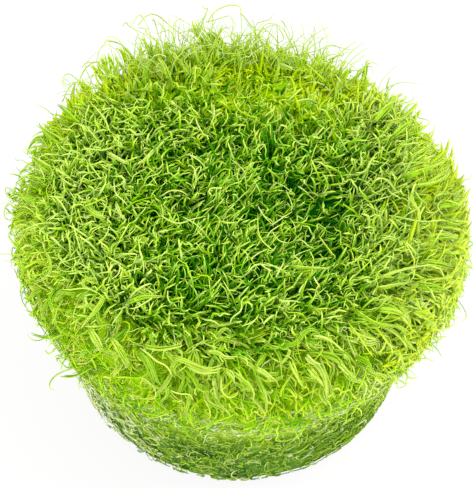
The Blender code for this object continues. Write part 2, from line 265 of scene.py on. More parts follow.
# a strand standing on the origin, one long, extruded ring by ring up to its tip
def modelStrand(widths, flatness):
    deselect()
    steps = len(widths)
    step = 1.0 / steps
    bpy.ops.mesh.primitive_cone_add(
        vertices=strandSides, radius1=widths[0], radius2=widths[1], depth=step,
        location=(0, 0, step / 2), end_fill_type="NGON",
    )
    strand = bpy.context.object
    strand.data.transform(strand.matrix_world)
    strand.location = (0, 0, 0)
    editPicked(strand, "FACE", lambda face: face.normal.z > 0.9 and face.center.z > step / 2)
    for ring in range(1, steps):
        bpy.ops.mesh.extrude_region_move(TRANSFORM_OT_translate={"value": (0, 0, step)})
        if ring < steps - 1:
            grow = widths[ring + 1] / widths[ring]
            bpy.ops.transform.resize(value=(grow, grow, 1))
    bpy.ops.mesh.merge(type="CENTER")
    bpy.ops.mesh.select_all(action="SELECT")
    bpy.ops.transform.resize(value=(1, flatness, 1))
    bpy.ops.mesh.quads_convert_to_tris()
    bpy.ops.mesh.normals_make_consistent(inside=False)
    switchTo("OBJECT")
    spots, faces = takeApart(strand)
    ring = np.rint(spots[:, 2] * steps).astype(int)
    mapAcross = np.full(len(spots), 0.5)
    for height in range(steps):
        members = np.flatnonzero(ring == height)
        order = members[np.argsort(np.arctan2(spots[members, 1], spots[members, 0]))]
        mapAcross[order] = [(0.0, 0.5, 1.0, 0.5)[i % 4] for i in range(len(order))]
    corners = np.stack([mapAcross[faces], spots[faces, 2]], axis=2)
    cap = np.flatnonzero(corners[:, :, 1].max(1) < 0.001)
    corners[cap, 1, 1] = 0.04  # the root's cap keeps some width on the map
    return {"steps": steps, "spots": spots, "faces": faces, "ring": ring, "corners": corners}


def unit(vectors):
    return vectors / np.maximum(np.linalg.norm(vectors, axis=-1, keepdims=True), 1e-9)


def rotated(vectors, axes, angles):
    c, s = np.cos(angles)[:, None], np.sin(angles)[:, None]
    along = np.sum(vectors * axes, axis=1, keepdims=True)
    return vectors * c + np.cross(axes, vectors) * s + axes * along * (1 - c)


def smooth(value, low, high):
    share = np.clip((value - low) / (high - low), 0, 1)
    return share * share * (3 - 2 * share)


def level(angle):
    return np.stack([np.cos(angle), np.sin(angle), np.zeros_like(angle)], axis=1)


# headings on the level, raised towards one side
def raised(heading, rise, side):
    return level(heading) * np.cos(rise)[:, None] + side * np.sin(rise)[:, None]


# a slow random field, for tints and headings that drift over the plug
def drift(x, y, size, seed):
    chance = np.random.default_rng(seed)
    total = np.zeros_like(x)
    for _ in range(6):
        heading, phase = chance.random() * fullTurn, chance.random() * fullTurn
        pace = fullTurn / size * chance.uniform(0.6, 1.5)
        total += np.sin((x * math.cos(heading) + y * math.sin(heading)) * pace + phase)
    return total / 3.2


# every strand starts at its root and turns a little at each step, in mm
def growPaths(roots, ways, axes, lengths, steps, bends):
    count = len(roots)
    path = np.zeros((count, steps + 1, 3))
    path[:, 0] = roots
    ways, axes = unit(ways), unit(axes)
    for k in range(steps):
        share = (k + 0.5) / steps
        swing = bends["curl"] + bends["wave"] * np.sin(bends["phase"] + fullTurn * bends["ripples"] * share)
        ways = rotated(ways, axes, swing / steps)
        ways[:, 2] -= bends["droop"] / steps
        ways = unit(ways)
        axes = unit(rotated(axes, ways, bends["spiral"] / steps))
        path[:, k + 1] = path[:, k] + ways * (lengths / steps)[:, None]
    return path


def drawBends(look, count, chance):
    return {
        "curl": chance.normal(0, look["curl"], count),
        "wave": chance.normal(0, look["wave"], count),
        "phase": chance.random(count) * fullTurn,
        "ripples": chance.uniform(*look["ripples"], count),
        "droop": chance.uniform(*look["droop"], count),
        "spiral": chance.normal(0, look["spiral"], count),
    }


def drawWidths(look, count, chance):
    return look["width"] * chance.uniform(*look["widthShares"], count)


def drawLengths(look, count, chance):
    return look["length"] * chance.uniform(*look["lengthShares"], count)


def outlineAt(angle):
    return 1 + plug["lean"] * np.cos(angle - math.radians(plug["leanDirection"])) ** 2


def turnedBack(value, limit, ease):
    near = limit - ease
    return np.where(value > near, near + ease * np.tanh((value - near) / ease), value)


# nothing leaves the space that the solids hold
def keepIn(path, hem=None, reach=None):
    radius = np.hypot(path[..., 0], path[..., 1])
    angle = np.arctan2(path[..., 1], path[..., 0])
    limit = plug["widest"]
    if reach is not None:
        turned = np.degrees(angle)
        drawnIn = sum(depth * np.exp(-((turned - side) / width) ** 2) for depth, side, width in bays)
        limit = reach * outlineAt(angle) ** 0.6 - drawnIn
    path[..., :2] *= (turnedBack(radius, limit, give["edge"]) / np.maximum(radius, 1e-6))[..., None]
    path[..., 2] = turnedBack(path[..., 2], plug["highest"], give["top"])
    if hem is not None:  # leaves don't hang below the hem
        path[..., 2] = hem + give["hem"] * np.logaddexp(0, (path[..., 2] - hem) / give["hem"])
    path[..., 2] = np.maximum(path[..., 2], plug["lowest"])
    return path


# repeats one strand along all the paths, as one mesh
def repeatAlong(name, strand, path, across, widths, tints, material, twists=0.0):
    count, steps = len(path), strand["steps"]
    ahead = unit(np.gradient(path, axis=1))
    side = unit(across)
    frames = np.zeros((count, steps + 1, 3))
    for k in range(steps + 1):
        side = unit(side - ahead[:, k] * np.sum(side * ahead[:, k], axis=1, keepdims=True))
        frames[:, k] = side
    twist = (np.linspace(0, 1, steps + 1)[None, :] * np.reshape(twists * np.ones(count), (-1, 1)))[..., None]
    turned = frames * np.cos(twist) + np.cross(ahead, frames) * np.sin(twist)
    other = np.cross(ahead, turned)
    ring = strand["ring"]
    spots = (
        path[:, ring]
        + turned[:, ring] * strand["spots"][None, :, 0, None] * widths[:, None, None]
        + other[:, ring] * strand["spots"][None, :, 1, None] * widths[:, None, None]
    ) * mm
    faces = strand["faces"][None] + (np.arange(count) * len(ring))[:, None, None]
    places = mapPlaces(tints, strand["corners"])
    return meshPiece(name, spots.reshape(-1, 3), faces.reshape(-1, 3), places, material)


# each strand takes the strip of the map that holds its tint
def mapPlaces(tints, corners):
    side, end = mapMargin
    column = np.clip(np.floor(tints * mapColumns), 0, mapColumns - 1)
    places = np.zeros((len(tints),) + corners.shape)
    places[..., 0] = (column[:, None, None] + side + (1 - 2 * side) * corners[None, ..., 0]) / mapColumns
    places[..., 1] = end + (1 - 2 * end) * corners[None, ..., 1]
    return places.reshape(-1, 2)


def meshPiece(name, spots, faces, places, material):
    mesh = bpy.data.meshes.new(name)
    mesh.vertices.add(len(spots))
    mesh.vertices.foreach_set("co", spots.astype(np.float32).ravel())
    mesh.loops.add(faces.size)
    mesh.loops.foreach_set("vertex_index", faces.astype(np.int32).ravel())
    mesh.polygons.add(len(faces))
    mesh.polygons.foreach_set("loop_start", np.arange(0, faces.size, 3, dtype=np.int32))
    mesh.update(calc_edges=True)
    layer = mesh.uv_layers.new(name=mapName)
    layer.data.foreach_set("uv", places.astype(np.float32).ravel())
    mesh.polygons.foreach_set("use_smooth", np.ones(len(faces), dtype=bool))
    mesh.validate()
    mesh.materials.append(material)
    piece = bpy.data.objects.new(name, mesh)
    bpy.context.scene.collection.objects.link(piece)
    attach(piece, "root")
    print(name, "has", len(faces), "triangles")
    return piece


def shortened(paths, ends):
    marks = paths.shape[1]
    spots = np.linspace(0, 1, marks)[None, :] * ends[:, None] * (marks - 1)
    low = np.minimum(spots.astype(int), marks - 2)
    part = (spots - low)[..., None]
    rows = np.arange(len(paths))[:, None]
    return paths[rows, low] * (1 - part) + paths[rows, low + 1] * part


# a lock: strands that run together side by side and part a little at their tips
lockShape = {
    "at": (0, 0.3, 0.7, 1), "spread": (0.8, 0.9, 0.55, 1.0), "roll": 0.25, "stray": 0.18,
    "weave": 0.35, "bends": (2, 6), "depth": 0.35, "ends": (0.68, 1.0),
}


def spreadLocks(paths, away, each, apart, chance):
    look = lockShape
    count, marks = paths.shape[:2]
    share = np.linspace(0, 1, marks)[None, :, None]
    ahead = unit(np.gradient(paths, axis=1))
    side = unit(np.cross(ahead, away[:, None] + chance.normal(0, look["roll"], (count, 1, 3))))
    over = np.cross(side, ahead)
    gap = np.interp(share, look["at"], look["spread"]) * np.reshape(apart * np.ones(count), (-1, 1, 1))
    locks = []
    for k in range(each):
        place = 2 * (k + 0.5) / each - 1 + chance.normal(0, look["stray"], (count, 1, 1))
        phase = chance.random((count, 1, 1)) * fullTurn
        weave = look["weave"] * np.sin(phase + share * chance.uniform(*look["bends"], (count, 1, 1)))
        lock = paths + side * (place + weave) * gap + over * gap * chance.normal(0, look["depth"], (count, 1, 1))
        locks.append(shortened(lock, chance.uniform(*look["ends"], count)))
    return np.concatenate(locks)


def wallRadius(height):
    return plug["baseRadius"] + (plug["wallRadius"] - plug["baseRadius"]) / plug["matHeight"] * height


# the bed's flank above the mat, in mm
flank = {"heights": (30.0, 32.2, 34.6, 38.5, 42.5, 46.0), "radii": (34.0, 42.3, 44.0, 45.2, 46.0, 46.0), "proud": 0.1}


# the mat's wall, and above it the bed's flank
def flankRadius(height, angle):
    bed = np.interp(height, flank["heights"], flank["radii"]) * outlineAt(angle)
    return np.maximum(wallRadius(np.minimum(height, plug["matHeight"])), bed + flank["proud"])


def hollowNear(x, y):
    return np.hypot(x - plug["hollowCentre"][0], y - plug["hollowCentre"][1])


def hollowAt(x, y):
    return plug["hollowDepth"] * np.clip(1 - (hollowNear(x, y) / plug["hollowRadius"]) ** 2, 0, 1) ** 1.5


def backRiseAt(y):
    return plug["backRise"] * smooth(y, *plug["backSlope"])


# a point of the leaves' bed, so far out over the top, the shoulder and down the side
def bedPoint(angle, along):
    shoulder = plug["bedShoulder"]
    flat = plug["bedRadius"] * outlineAt(angle) - shoulder
    bend = np.clip((along - flat) / shoulder, 0, math.pi / 2)
    below = np.maximum(along - flat - shoulder * math.pi / 2, 0)
    radius = np.minimum(along, flat) + shoulder * np.sin(bend) - plug["flankDraw"] * below
    x, y = radius * np.cos(angle), radius * np.sin(angle)
    z = plug["bedTop"] - shoulder * (1 - np.cos(bend)) - below - hollowAt(x, y) + backRiseAt(y) * np.cos(bend)
    away = level(angle) * np.sin(bend)[:, None] + upward * np.cos(bend)[:, None]
    return np.stack([x, y, z], axis=1), away


# even over the bed, from one distance along it to another
def scatterOnBed(count, chance, first, last):
    marks = np.linspace(first, last, 300)
    load = np.cumsum(bedPoint(np.zeros_like(marks), marks)[0][:, 0] + 0.5)
    return chance.random(count) * fullTurn, np.interp(chance.random(count) * load[-1], load, marks)


# how tangled the leaves are: the left side is, the rest is combed
tangle = {"left": (4, 22), "slant": 0.2, "back": (24, 38), "backLess": 0.75, "front": (32, 42), "frontLess": 0.4}


def tangleAt(x, y):
    left = smooth(-x + tangle["slant"] * y, *tangle["left"])
    atBack = 1 - tangle["backLess"] * smooth(y, *tangle["back"])
    return left * atBack * (1 - tangle["frontLess"] * smooth(-y, *tangle["front"]))


def leanAt(x, y):
    share = smooth(np.hypot(x, y), lie["turnsFrom"], lie["turnsTo"]) * lie["outward"]
    flow = math.radians(lie["flow"]) + lie["waver"] * drift(x, y, lie["waverSize"], lie["waverSeed"])
    outward = np.arctan2(y, x)
    east = (1 - share) * np.cos(flow) + share * np.cos(outward)
    north = (1 - share) * np.sin(flow) + share * np.sin(outward)
    return np.arctan2(north, east)


# how the tints change over the turf: from where to where, in mm, and how far
shade = {
    "rim": (22, 43), "rimLighter": 0.27, "back": (10, 32), "backLighter": 0.3, "right": (6, 34), "rightLighter": 0.24,
    "front": (22, 38), "frontDarker": 0.08, "left": (14, 36), "leftLighter": 0.08, "hollow": (-14, -5),
    "hollowDarker": 0.12, "patchSize": 15, "patchSeed": 5, "patches": 0.09, "paler": (0.3, 0.62),
    "calmPatches": 0.7, "calmSpread": 0.65, "range": (0.03, 0.97),
}


# darker over the middle, brighter to the rim, and even at the back; the lighter rim, back, right side and left rim
# are painted light, the glow of thin leaves lit from behind, strongest on the key lamp's side, and the darker hollow
# is painted shade
def leafTint(x, y, chance, look):
    rim = smooth(np.hypot(x, y), *shade["rim"])
    back = smooth(y, *shade["back"])
    calm = np.maximum(rim, back)
    base = look["tint"] + shade["rimLighter"] * rim + shade["backLighter"] * back * (1 - rim)
    base = base + shade["rightLighter"] * smooth(x, *shade["right"])
    base = base - shade["frontDarker"] * rim * smooth(-y, *shade["front"])
    base = base + shade["leftLighter"] * rim * smooth(-x, *shade["left"])
    uneven = 1 - shade["calmPatches"] * calm
    base = base + shade["patches"] * drift(x, y, shade["patchSize"], shade["patchSeed"]) * uneven
    base = base - shade["hollowDarker"] * smooth(-hollowNear(x, y), *shade["hollow"])
    # some strands are paler: partly paler strands of their own, partly painted highlight
    pale = (chance.random(len(x)) < look["paleShare"]) * chance.uniform(*shade["paler"], len(x)) * uneven
    spread = chance.normal(0, look["tintSpread"], len(x)) * (1 - shade["calmSpread"] * calm)
    return np.clip(base + pale + spread, *shade["range"])


def makeCamera():
    rise = math.radians(shot["elevation"])
    away = Vector((0, -math.cos(rise), math.sin(rise)))
    data = bpy.data.cameras.new("photoCamera")
    made = bpy.data.objects.new("photoCamera", data)
    bpy.context.scene.collection.objects.link(made)
    made.location = (Vector(shot["aim"]) + away * shot["distance"]) * mm
    made.rotation_euler = (-away).to_track_quat("-Z", "Y").to_euler()
    data.sensor_width = shot["sensor"]
    data.lens = shot["focal"] / max(shot["width"], shot["height"]) * shot["sensor"]
    data.clip_start = 0.01
    bpy.context.scene.camera = made
    return made


camera = makeCamera()
bpy.context.view_layer.update()
print("camera set")

# the strands, each modelled once
leafStrand = modelStrand((0.7, 0.95, 1.0, 1.0, 1.0, 0.95, 0.88, 0.78, 0.6), 0.75)
ribbonStrand = modelStrand((0.7, 0.95, 1.0, 1.0, 0.92, 0.8, 0.6), 0.35)
shortStrand = modelStrand((0.7, 0.95, 1.0, 1.0, 0.92, 0.8, 0.6), 0.7)
curlStrand = modelStrand((0.65, 0.9, 1.0, 1.0, 1.0, 0.92, 0.82, 0.6), 0.8)
threadStrand = modelStrand((0.7, 0.9, 1.0, 1.0, 1.0, 0.95, 0.9, 0.8, 0.7, 0.5), 0.9)
longStrand = modelStrand((1.0, 1.0, 1.0, 0.98, 0.95, 0.9, 0.85, 0.8, 0.74, 0.66, 0.56, 0.42), 0.95)
print("strands modelled")

# in each look, the edge and its colour paint a highlight along the edges, the tip a paler tip that is partly the
# leaf's own and partly painted highlight, and the root colour a painted shade
# tints: how far across the map, then red, green and blue
leafLook = {
    "tints": (
        (0.0, 14, 94, 0), (0.22, 80, 150, 0), (0.45, 140, 194, 0),
        (0.65, 178, 215, 0), (0.84, 208, 232, 60), (1.0, 226, 243, 150),
    ),
    "grain": 5.0, "mottle": 0.3, "mottleColour": (110, 168, 0), "edge": 0.34, "edgeHighlightColour": (212, 240, 56),
    "tipFrom": 0.4, "tip": 0.5, "paleTipAndHighlightColour": (216, 242, 78), "tipTints": (0.0, 0.05),
    "rootFrom": 0.1, "rootTo": 0.86, "rootShadeColour": (64, 136, 0), "evenTints": (0.45, 0.62),
    "roughness": 0.6, "bump": 0.25, "shine": 0.03, "glow": 0.3,
}
middleLook = dict(
    leafLook, mottle=0.4, mottleColour=(64, 156, 0), edge=0.3, edgeHighlightColour=(192, 236, 30), glow=0.0,
    tipFrom=0.52, tip=0.9, paleTipAndHighlightColour=(222, 248, 108), tipTints=(0.2, 0.52),
    rootFrom=0.05, rootTo=0.82, rootShadeColour=(0, 90, 6), evenTints=(0.97, 1.0),
    tints=(
        (0.0, 4, 88, 0), (0.22, 40, 140, 0), (0.45, 108, 192, 0),
        (0.65, 156, 216, 0), (0.84, 192, 230, 30), (1.0, 216, 242, 124),
    ),
)
threadLook = dict(
    middleLook, mottle=0.25, tip=0.4, rootFrom=0.0, rootTo=0.6, rootShadeColour=(36, 122, 0), evenTints=(0.4, 0.62),
)
lockLook = dict(
    leafLook, mottle=0.45, mottleColour=(96, 166, 0), edge=0.6, edgeHighlightColour=(222, 243, 104),
    tip=0.3, paleTipAndHighlightColour=(214, 236, 120), rootTo=0.3, rootShadeColour=(86, 156, 0), grain=9.0, roughness=0.5, shine=0.06,
    tints=(
        (0.0, 50, 134, 0), (0.45, 112, 180, 0), (0.65, 148, 200, 6), (0.84, 194, 222, 76), (1.0, 218, 237, 150),
    ),
)
fusedLook = dict(
    leafLook, mottle=0.2, mottleColour=(130, 186, 0), edge=0.1, tip=0.12, paleTipAndHighlightColour=(200, 228, 20),
    rootTo=0.4, rootShadeColour=(166, 212, 0), bump=0.1, glow=0.5,
    tints=(
        (0.0, 90, 160, 0), (0.5, 156, 208, 0), (0.65, 178, 220, 0), (0.84, 196, 229, 34), (1.0, 210, 238, 96),
    ),
)
runnerLook = dict(
    leafLook, mottle=0.2, mottleColour=(120, 160, 30), edge=0.2, tip=0.15, paleTipAndHighlightColour=(200, 212, 150),
    rootTo=0.6, rootShadeColour=(152, 204, 0), shine=0.1,
    tints=((0.0, 124, 174, 10), (0.35, 158, 202, 20), (0.7, 184, 214, 84), (1.0, 216, 230, 164)),
)
feltLook = dict(
    leafLook, mottle=0.3, mottleColour=(136, 178, 30), edge=0.3, edgeHighlightColour=(226, 238, 164),
    tip=0.2, paleTipAndHighlightColour=(218, 232, 156), rootTo=0.2, rootShadeColour=(120, 166, 30), roughness=0.65, shine=0.04, glow=0.15,
    tints=(
        (0.0, 70, 124, 14), (0.28, 120, 168, 36), (0.5, 164, 204, 20),
        (0.72, 198, 222, 92), (0.88, 218, 230, 164), (1.0, 224, 235, 184),
    ),
)
leafGreen = leafMaterial("turf leaf", leafLook)
threadGreen = leafMaterial("turf thread", threadLook)
middleGreen = leafMaterial("middle leaf", middleLook)
lockGreen = leafMaterial("strap leaf", lockLook)
fusedGreen = leafMaterial("fused leaf", fusedLook)
runnerPale = leafMaterial("pale runner", runnerLook)
feltGreen = leafMaterial("pressed runner", feltLook)
print("leaf finishes made")

# the bed under the leaves: deep green in the middle as painted shade down in the gaps, yellow-green towards the rim
# and the back as painted light, the glow of leaves lit from behind
bedLook = {
    "inner": ((0, 66, 6), (2, 92, 4), (48, 138, 2)),
    "outer": ((132, 188, 0), (160, 208, 0), (196, 226, 40)),
    "scale": 420.0, "rimFrom": (0.029, 0.040), "backFrom": (0.014, 0.028),
}
# the mat's core: green below, yellow-green above, with paler felted patches
matLook = {
    "inner": ((44, 92, 8), (84, 132, 24), (158, 190, 92)),
    "outer": ((112, 162, 0), (150, 194, 6), (204, 226, 96)),
    "scale": 560.0, "highFrom": (0.015, 0.028), "patchScale": 60.0, "patchHeight": 0.012,
}
# contour lines of a noise look like curled threads
bedPattern = {
    "clumpScale": 150.0, "clumps": (0.36, 0.64), "contours": 4, "lineWidth": (0.06, 0.22), "lineShare": 0.7,
    "bump": 0.7, "bumpDepth": 0.0005, "roughness": 0.85, "smootherLines": 0.2, "shine": 0.06,
}


def bedMaterial(name, look, zoneOf):
    material, wires = newMaterial(name)
    place = wires.add("ShaderNodeTexCoord").out("Object")
    zone = zoneOf(wires, place)
    clumps = wires.add("ShaderNodeTexNoise", {}, {
        "Vector": place, "Scale": bedPattern["clumpScale"], "Detail": 4.0,
    }).clamped(*bedPattern["clumps"])
    squirm = wires.add("ShaderNodeTexNoise", {}, {
        "Vector": place, "Scale": look["scale"], "Detail": 1.5, "Roughness": 0.55, "Distortion": 0.9,
    })
    lines = 1 - abs((squirm * bedPattern["contours"]).fraction() - 0.5).clamped(*bedPattern["lineWidth"])
    tones = []
    for tints in (look["inner"], look["outer"]):
        dark, middle, light = (colour(*tint) for tint in tints)
        tones.append((lines * bedPattern["lineShare"]).blend(clumps.blend(dark, middle), light))
    bump = wires.add("ShaderNodeBump", {}, {
        "Strength": bedPattern["bump"], "Distance": bedPattern["bumpDepth"], "Height": lines,
    })
    finishMaterial(wires, {
        "Base Color": zone.blend(*tones),
        "Roughness": bedPattern["roughness"] - lines * bedPattern["smootherLines"],
        "Normal": bump,
        "Specular IOR Level": bedPattern["shine"],
    })
    return material


# where the bed takes its lighter, painted-light colours: towards the rim and the back
def rimZone(wires, place):
    flat = wires.add("ShaderNodeVectorMath", {"operation": "MULTIPLY"}, {0: place, 1: (1.0, 1.0, 0.0)})
    radius = wires.add("ShaderNodeVectorMath", {"operation": "LENGTH"}, {0: flat}).out("Value")
    behind = wires.add("ShaderNodeSeparateXYZ", {}, {"Vector": place}).out("Y")
    return radius.clamped(*bedLook["rimFrom"]).larger(behind.clamped(*bedLook["backFrom"]))


def heightZone(wires, place):
    height = wires.add("ShaderNodeSeparateXYZ", {}, {"Vector": place}).out("Z")
    patches = wires.add("ShaderNodeTexNoise", {}, {"Vector": place, "Scale": matLook["patchScale"], "Detail": 2.0})
    uneven = height + patches * matLook["patchHeight"] - matLook["patchHeight"] / 2
    return uneven.clamped(*matLook["highFrom"])


# a turned body: a round sheet raised and drawn in or out ring by ring
def modelRound(name, profile, sides):
    deselect()
    first = profile[0]
    bpy.ops.mesh.primitive_circle_add(
        vertices=sides, radius=first[0] * mm, fill_type="NGON", location=(0, 0, first[1] * mm)
    )
    body = bpy.context.object
    body.name = name
    body.data.transform(body.matrix_world)
    body.location = (0, 0, 0)
    switchTo("EDIT")
    bpy.ops.mesh.select_mode(type="FACE")
    bpy.ops.mesh.select_all(action="SELECT")
    for before, after in zip(profile, profile[1:]):
        grow = after[0] / before[0]
        bpy.ops.mesh.extrude_region_move(TRANSFORM_OT_translate={"value": (0, 0, (after[1] - before[1]) * mm)})
        bpy.ops.transform.resize(value=(grow, grow, 1))
    bpy.ops.mesh.poke()
    bpy.ops.mesh.select_all(action="SELECT")
    bpy.ops.mesh.normals_make_consistent(inside=False)
    switchTo("OBJECT")
    return body


def roughen(body, size, depth):
    deselect()
    bpy.context.view_layer.objects.active = body
    body.select_set(True)
    finer = body.modifiers.new("finer", "SUBSURF")
    finer.levels = 2
    finer.render_levels = 2
    bpy.ops.object.modifier_apply(modifier="finer")
    clouds = bpy.data.textures.new(body.name + "Lumps", "CLOUDS")
    clouds.noise_scale = size * mm
    clouds.noise_depth = 3
    lumps = body.modifiers.new("lumps", "DISPLACE")
    lumps.texture = clouds
    lumps.strength = depth * mm
    lumps.mid_level = 0.5
    bpy.ops.object.modifier_apply(modifier="lumps")
    for face in body.data.polygons:
        face.use_smooth = True


def readSpots(body):
    spots = np.zeros(len(body.data.vertices) * 3, dtype=np.float32)
    body.data.vertices.foreach_get("co", spots)
    return spots.reshape(-1, 3).astype(float) / mm


def writeSpots(body, spots):
    body.data.vertices.foreach_set("co", (spots * mm).astype(np.float32).ravel())
    body.data.update()


# profiles go from the bottom up: radius and height in mm
turfBed = {
    "sides": 40, "lumpSize": 3.0, "lumpDepth": 1.7, "inside": 0.4,
    "foot": [(38.0, 31.0), (42.2, 31.6), (43.6, 34.6)], "sideHeights": (38.5, 42.5),
    "shoulder": (0.3, 0.6, 1.0), "rings": (0.68, 0.54, 0.4, 0.26, 0.12),
}
matCore = {
    "sides": 48, "lumpSize": 2.2, "lumpDepth": 1.0, "roundedEdge": 1.4, "inside": 0.15,
    "heights": (8, 14, 20, 26, 32, 36.5), "flatBelow": 0.4,
}


def makeTurfBed():
    radius, top, shoulder = plug["bedRadius"] - turfBed["inside"], plug["bedTop"], plug["bedShoulder"]
    low, high = turfBed["sideHeights"]
    profile = turfBed["foot"] + [(radius - 0.8, low), (radius, high)]
    for share in turfBed["shoulder"]:
        bend = share * math.pi / 2
        profile.append((radius - shoulder * (1 - math.cos(bend)), top - shoulder * (1 - math.sin(bend))))
    profile += [(radius * share, top) for share in turfBed["rings"]]
    bed = modelRound("turfBed", profile, turfBed["sides"])
    spots = readSpots(bed)
    spots[:, :2] *= outlineAt(np.arctan2(spots[:, 1], spots[:, 0]))[:, None]
    spots[:, 2] -= hollowAt(spots[:, 0], spots[:, 1]) * (spots[:, 2] > top - 1)
    spots[:, 2] += backRiseAt(spots[:, 1]) * smooth(spots[:, 2], 43, 50)
    writeSpots(bed, spots)
    roughen(bed, turfBed["lumpSize"], turfBed["lumpDepth"])
    bed.data.materials.append(bedMaterial("leaf bed", bedLook, rimZone))
    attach(bed, "root")
    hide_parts("leaf_turf")
    print("turf bed modelled,", len(bed.data.polygons), "faces")


def makeMatCore():
    edge = matCore["roundedEdge"]
    profile = [(wallRadius(0) - 4, 0.0), (wallRadius(0) - edge, 0.25)]
    profile += [(wallRadius(1) - edge / 4, 1.2), (wallRadius(3) - 0.1, 3)]
    profile += [(wallRadius(h) - matCore["inside"], h) for h in matCore["heights"]]
    profile += [(wallRadius(38) - 2, 37.8), (wallRadius(38) - 12, 38)]
    core = modelRound("matCore", profile, matCore["sides"])
    roughen(core, matCore["lumpSize"], matCore["lumpDepth"])
    spots = readSpots(core)
    spots[:, 2] = np.where(spots[:, 2] < matCore["flatBelow"], 0.0, spots[:, 2])  # the base stays flat
    writeSpots(core, spots)
    core.data.materials.append(bedMaterial("mat core", matLook, heightZone))
    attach(core, "root")
    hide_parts("runner_mat")
    print("mat core modelled,", len(core.data.polygons), "faces")


makeTurfBed()
makeMatCore()

# roots are scattered in excess, and thinned where a kind of leaf is rare
combedLeaves = {
    "seed": 21, "count": 2900, "along": (0.0, 40.0), "leftShare": 0.5,
    "length": 8.8, "lengthShares": (0.6, 1.15), "width": 0.25, "widthShares": (0.65, 1.5),
    "riseMiddle": 50.0, "riseRim": 14.0, "riseBack": 14.0, "outward": 0.35, "turnSpread": 17.0,
    "curl": 1.1, "wave": 9.5, "ripples": (1.2, 2.4), "spiral": 0.9, "droop": (0.2, 0.9),
    "clumps": 330, "clumpPull": 0.6, "hem": 40.0, "reach": 49.5, "roll": 1.2,
    "tint": 0.38, "tintSpread": 0.22, "paleShare": 0.3, "fusedBare": 0.9, "looseBare": 0.0, "innerBare": 0.0,
}
rimLeaves = {
    "seed": 22, "count": 3400, "along": (20.0, 55.0), "leftShare": 1.0,
    "length": 5.6, "lengthShares": (0.55, 1.3), "width": 0.25, "widthShares": (0.65, 1.6),
    "riseMiddle": 20.0, "riseRim": -10.0, "riseBack": 26.0, "outward": 0.6, "turnSpread": 26.0,
    "curl": 1.6, "wave": 8.0, "ripples": (0.8, 1.9), "spiral": 1.2, "droop": (0.2, 1.1),
    "clumps": 330, "clumpPull": 0.65, "hem": 38.5, "reach": 49.5, "roll": 1.2,
    "tint": 0.52, "tintSpread": 0.11, "paleShare": 0.16, "fusedBare": 0.1, "looseBare": 0.0, "innerBare": 1.0,
}
# broad leaves, near one colour, that run together at the back and the right
fusedLeaves = {
    "seed": 23, "count": 2600, "along": (18.0, 55.0), "leftShare": 1.0,
    "length": 7.4, "lengthShares": (0.6, 1.25), "width": 0.5, "widthShares": (0.6, 1.4),
    "riseMiddle": 20.0, "riseRim": 6.0, "riseBack": 16.0, "outward": 0.35, "turnSpread": 28.0,
    "curl": 1.1, "wave": 4.5, "ripples": (0.8, 1.8), "spiral": 0.8, "droop": (0.0, 0.5),
    "clumps": 160, "clumpPull": 0.75, "hem": 38.5, "reach": 48.8, "roll": 0.25,
    "tint": 0.42, "tintSpread": 0.05, "paleShare": 0.05, "fusedBare": 0.0, "looseBare": 1.0, "innerBare": 0.0,
}
# what the three kinds share: zones in mm from the middle, and what changes over them
planting = {
    "excess": 6, "hollow": (-13, -5), "hollowBare": 0.6, "innerEnd": 35, "innerEase": (0, 5),
    "innerRight": (10, 24), "innerBack": (8, 18), "fusedBack": (12, 28), "fusedRight": (24, 36),
    "rightShare": 0.8, "depth": (0.2, 1.2), "rim": (30, 44), "back": (8, 36), "sway": 0.6, "clumpSway": 0.8,
    "riseSpread": 9, "tilt": 0.5, "axisSpread": 0.5, "backDroop": 0.8, "right": (2, 26), "rightWave": 0.4,
    "driftSize": 13, "driftSeed": 12, "driftLength": 0.14, "backLength": 0.32, "farRight": (20, 36),
    "rightLength": 0.3, "gatherPower": 1.5,
}


# the tips of a clump's leaves gather towards its own middle
def gatherInClumps(roots, look, chance):
    centres = roots[chance.choice(len(roots), look["clumps"], replace=False)]
    nearest = np.zeros(len(roots), dtype=int)
    for first in range(0, len(roots), 500):
        gaps = np.linalg.norm(roots[first:first + 500, None] - centres[None], axis=2)
        nearest[first:first + 500] = gaps.argmin(1)
    return nearest, (centres[nearest] - roots) * look["clumpPull"]


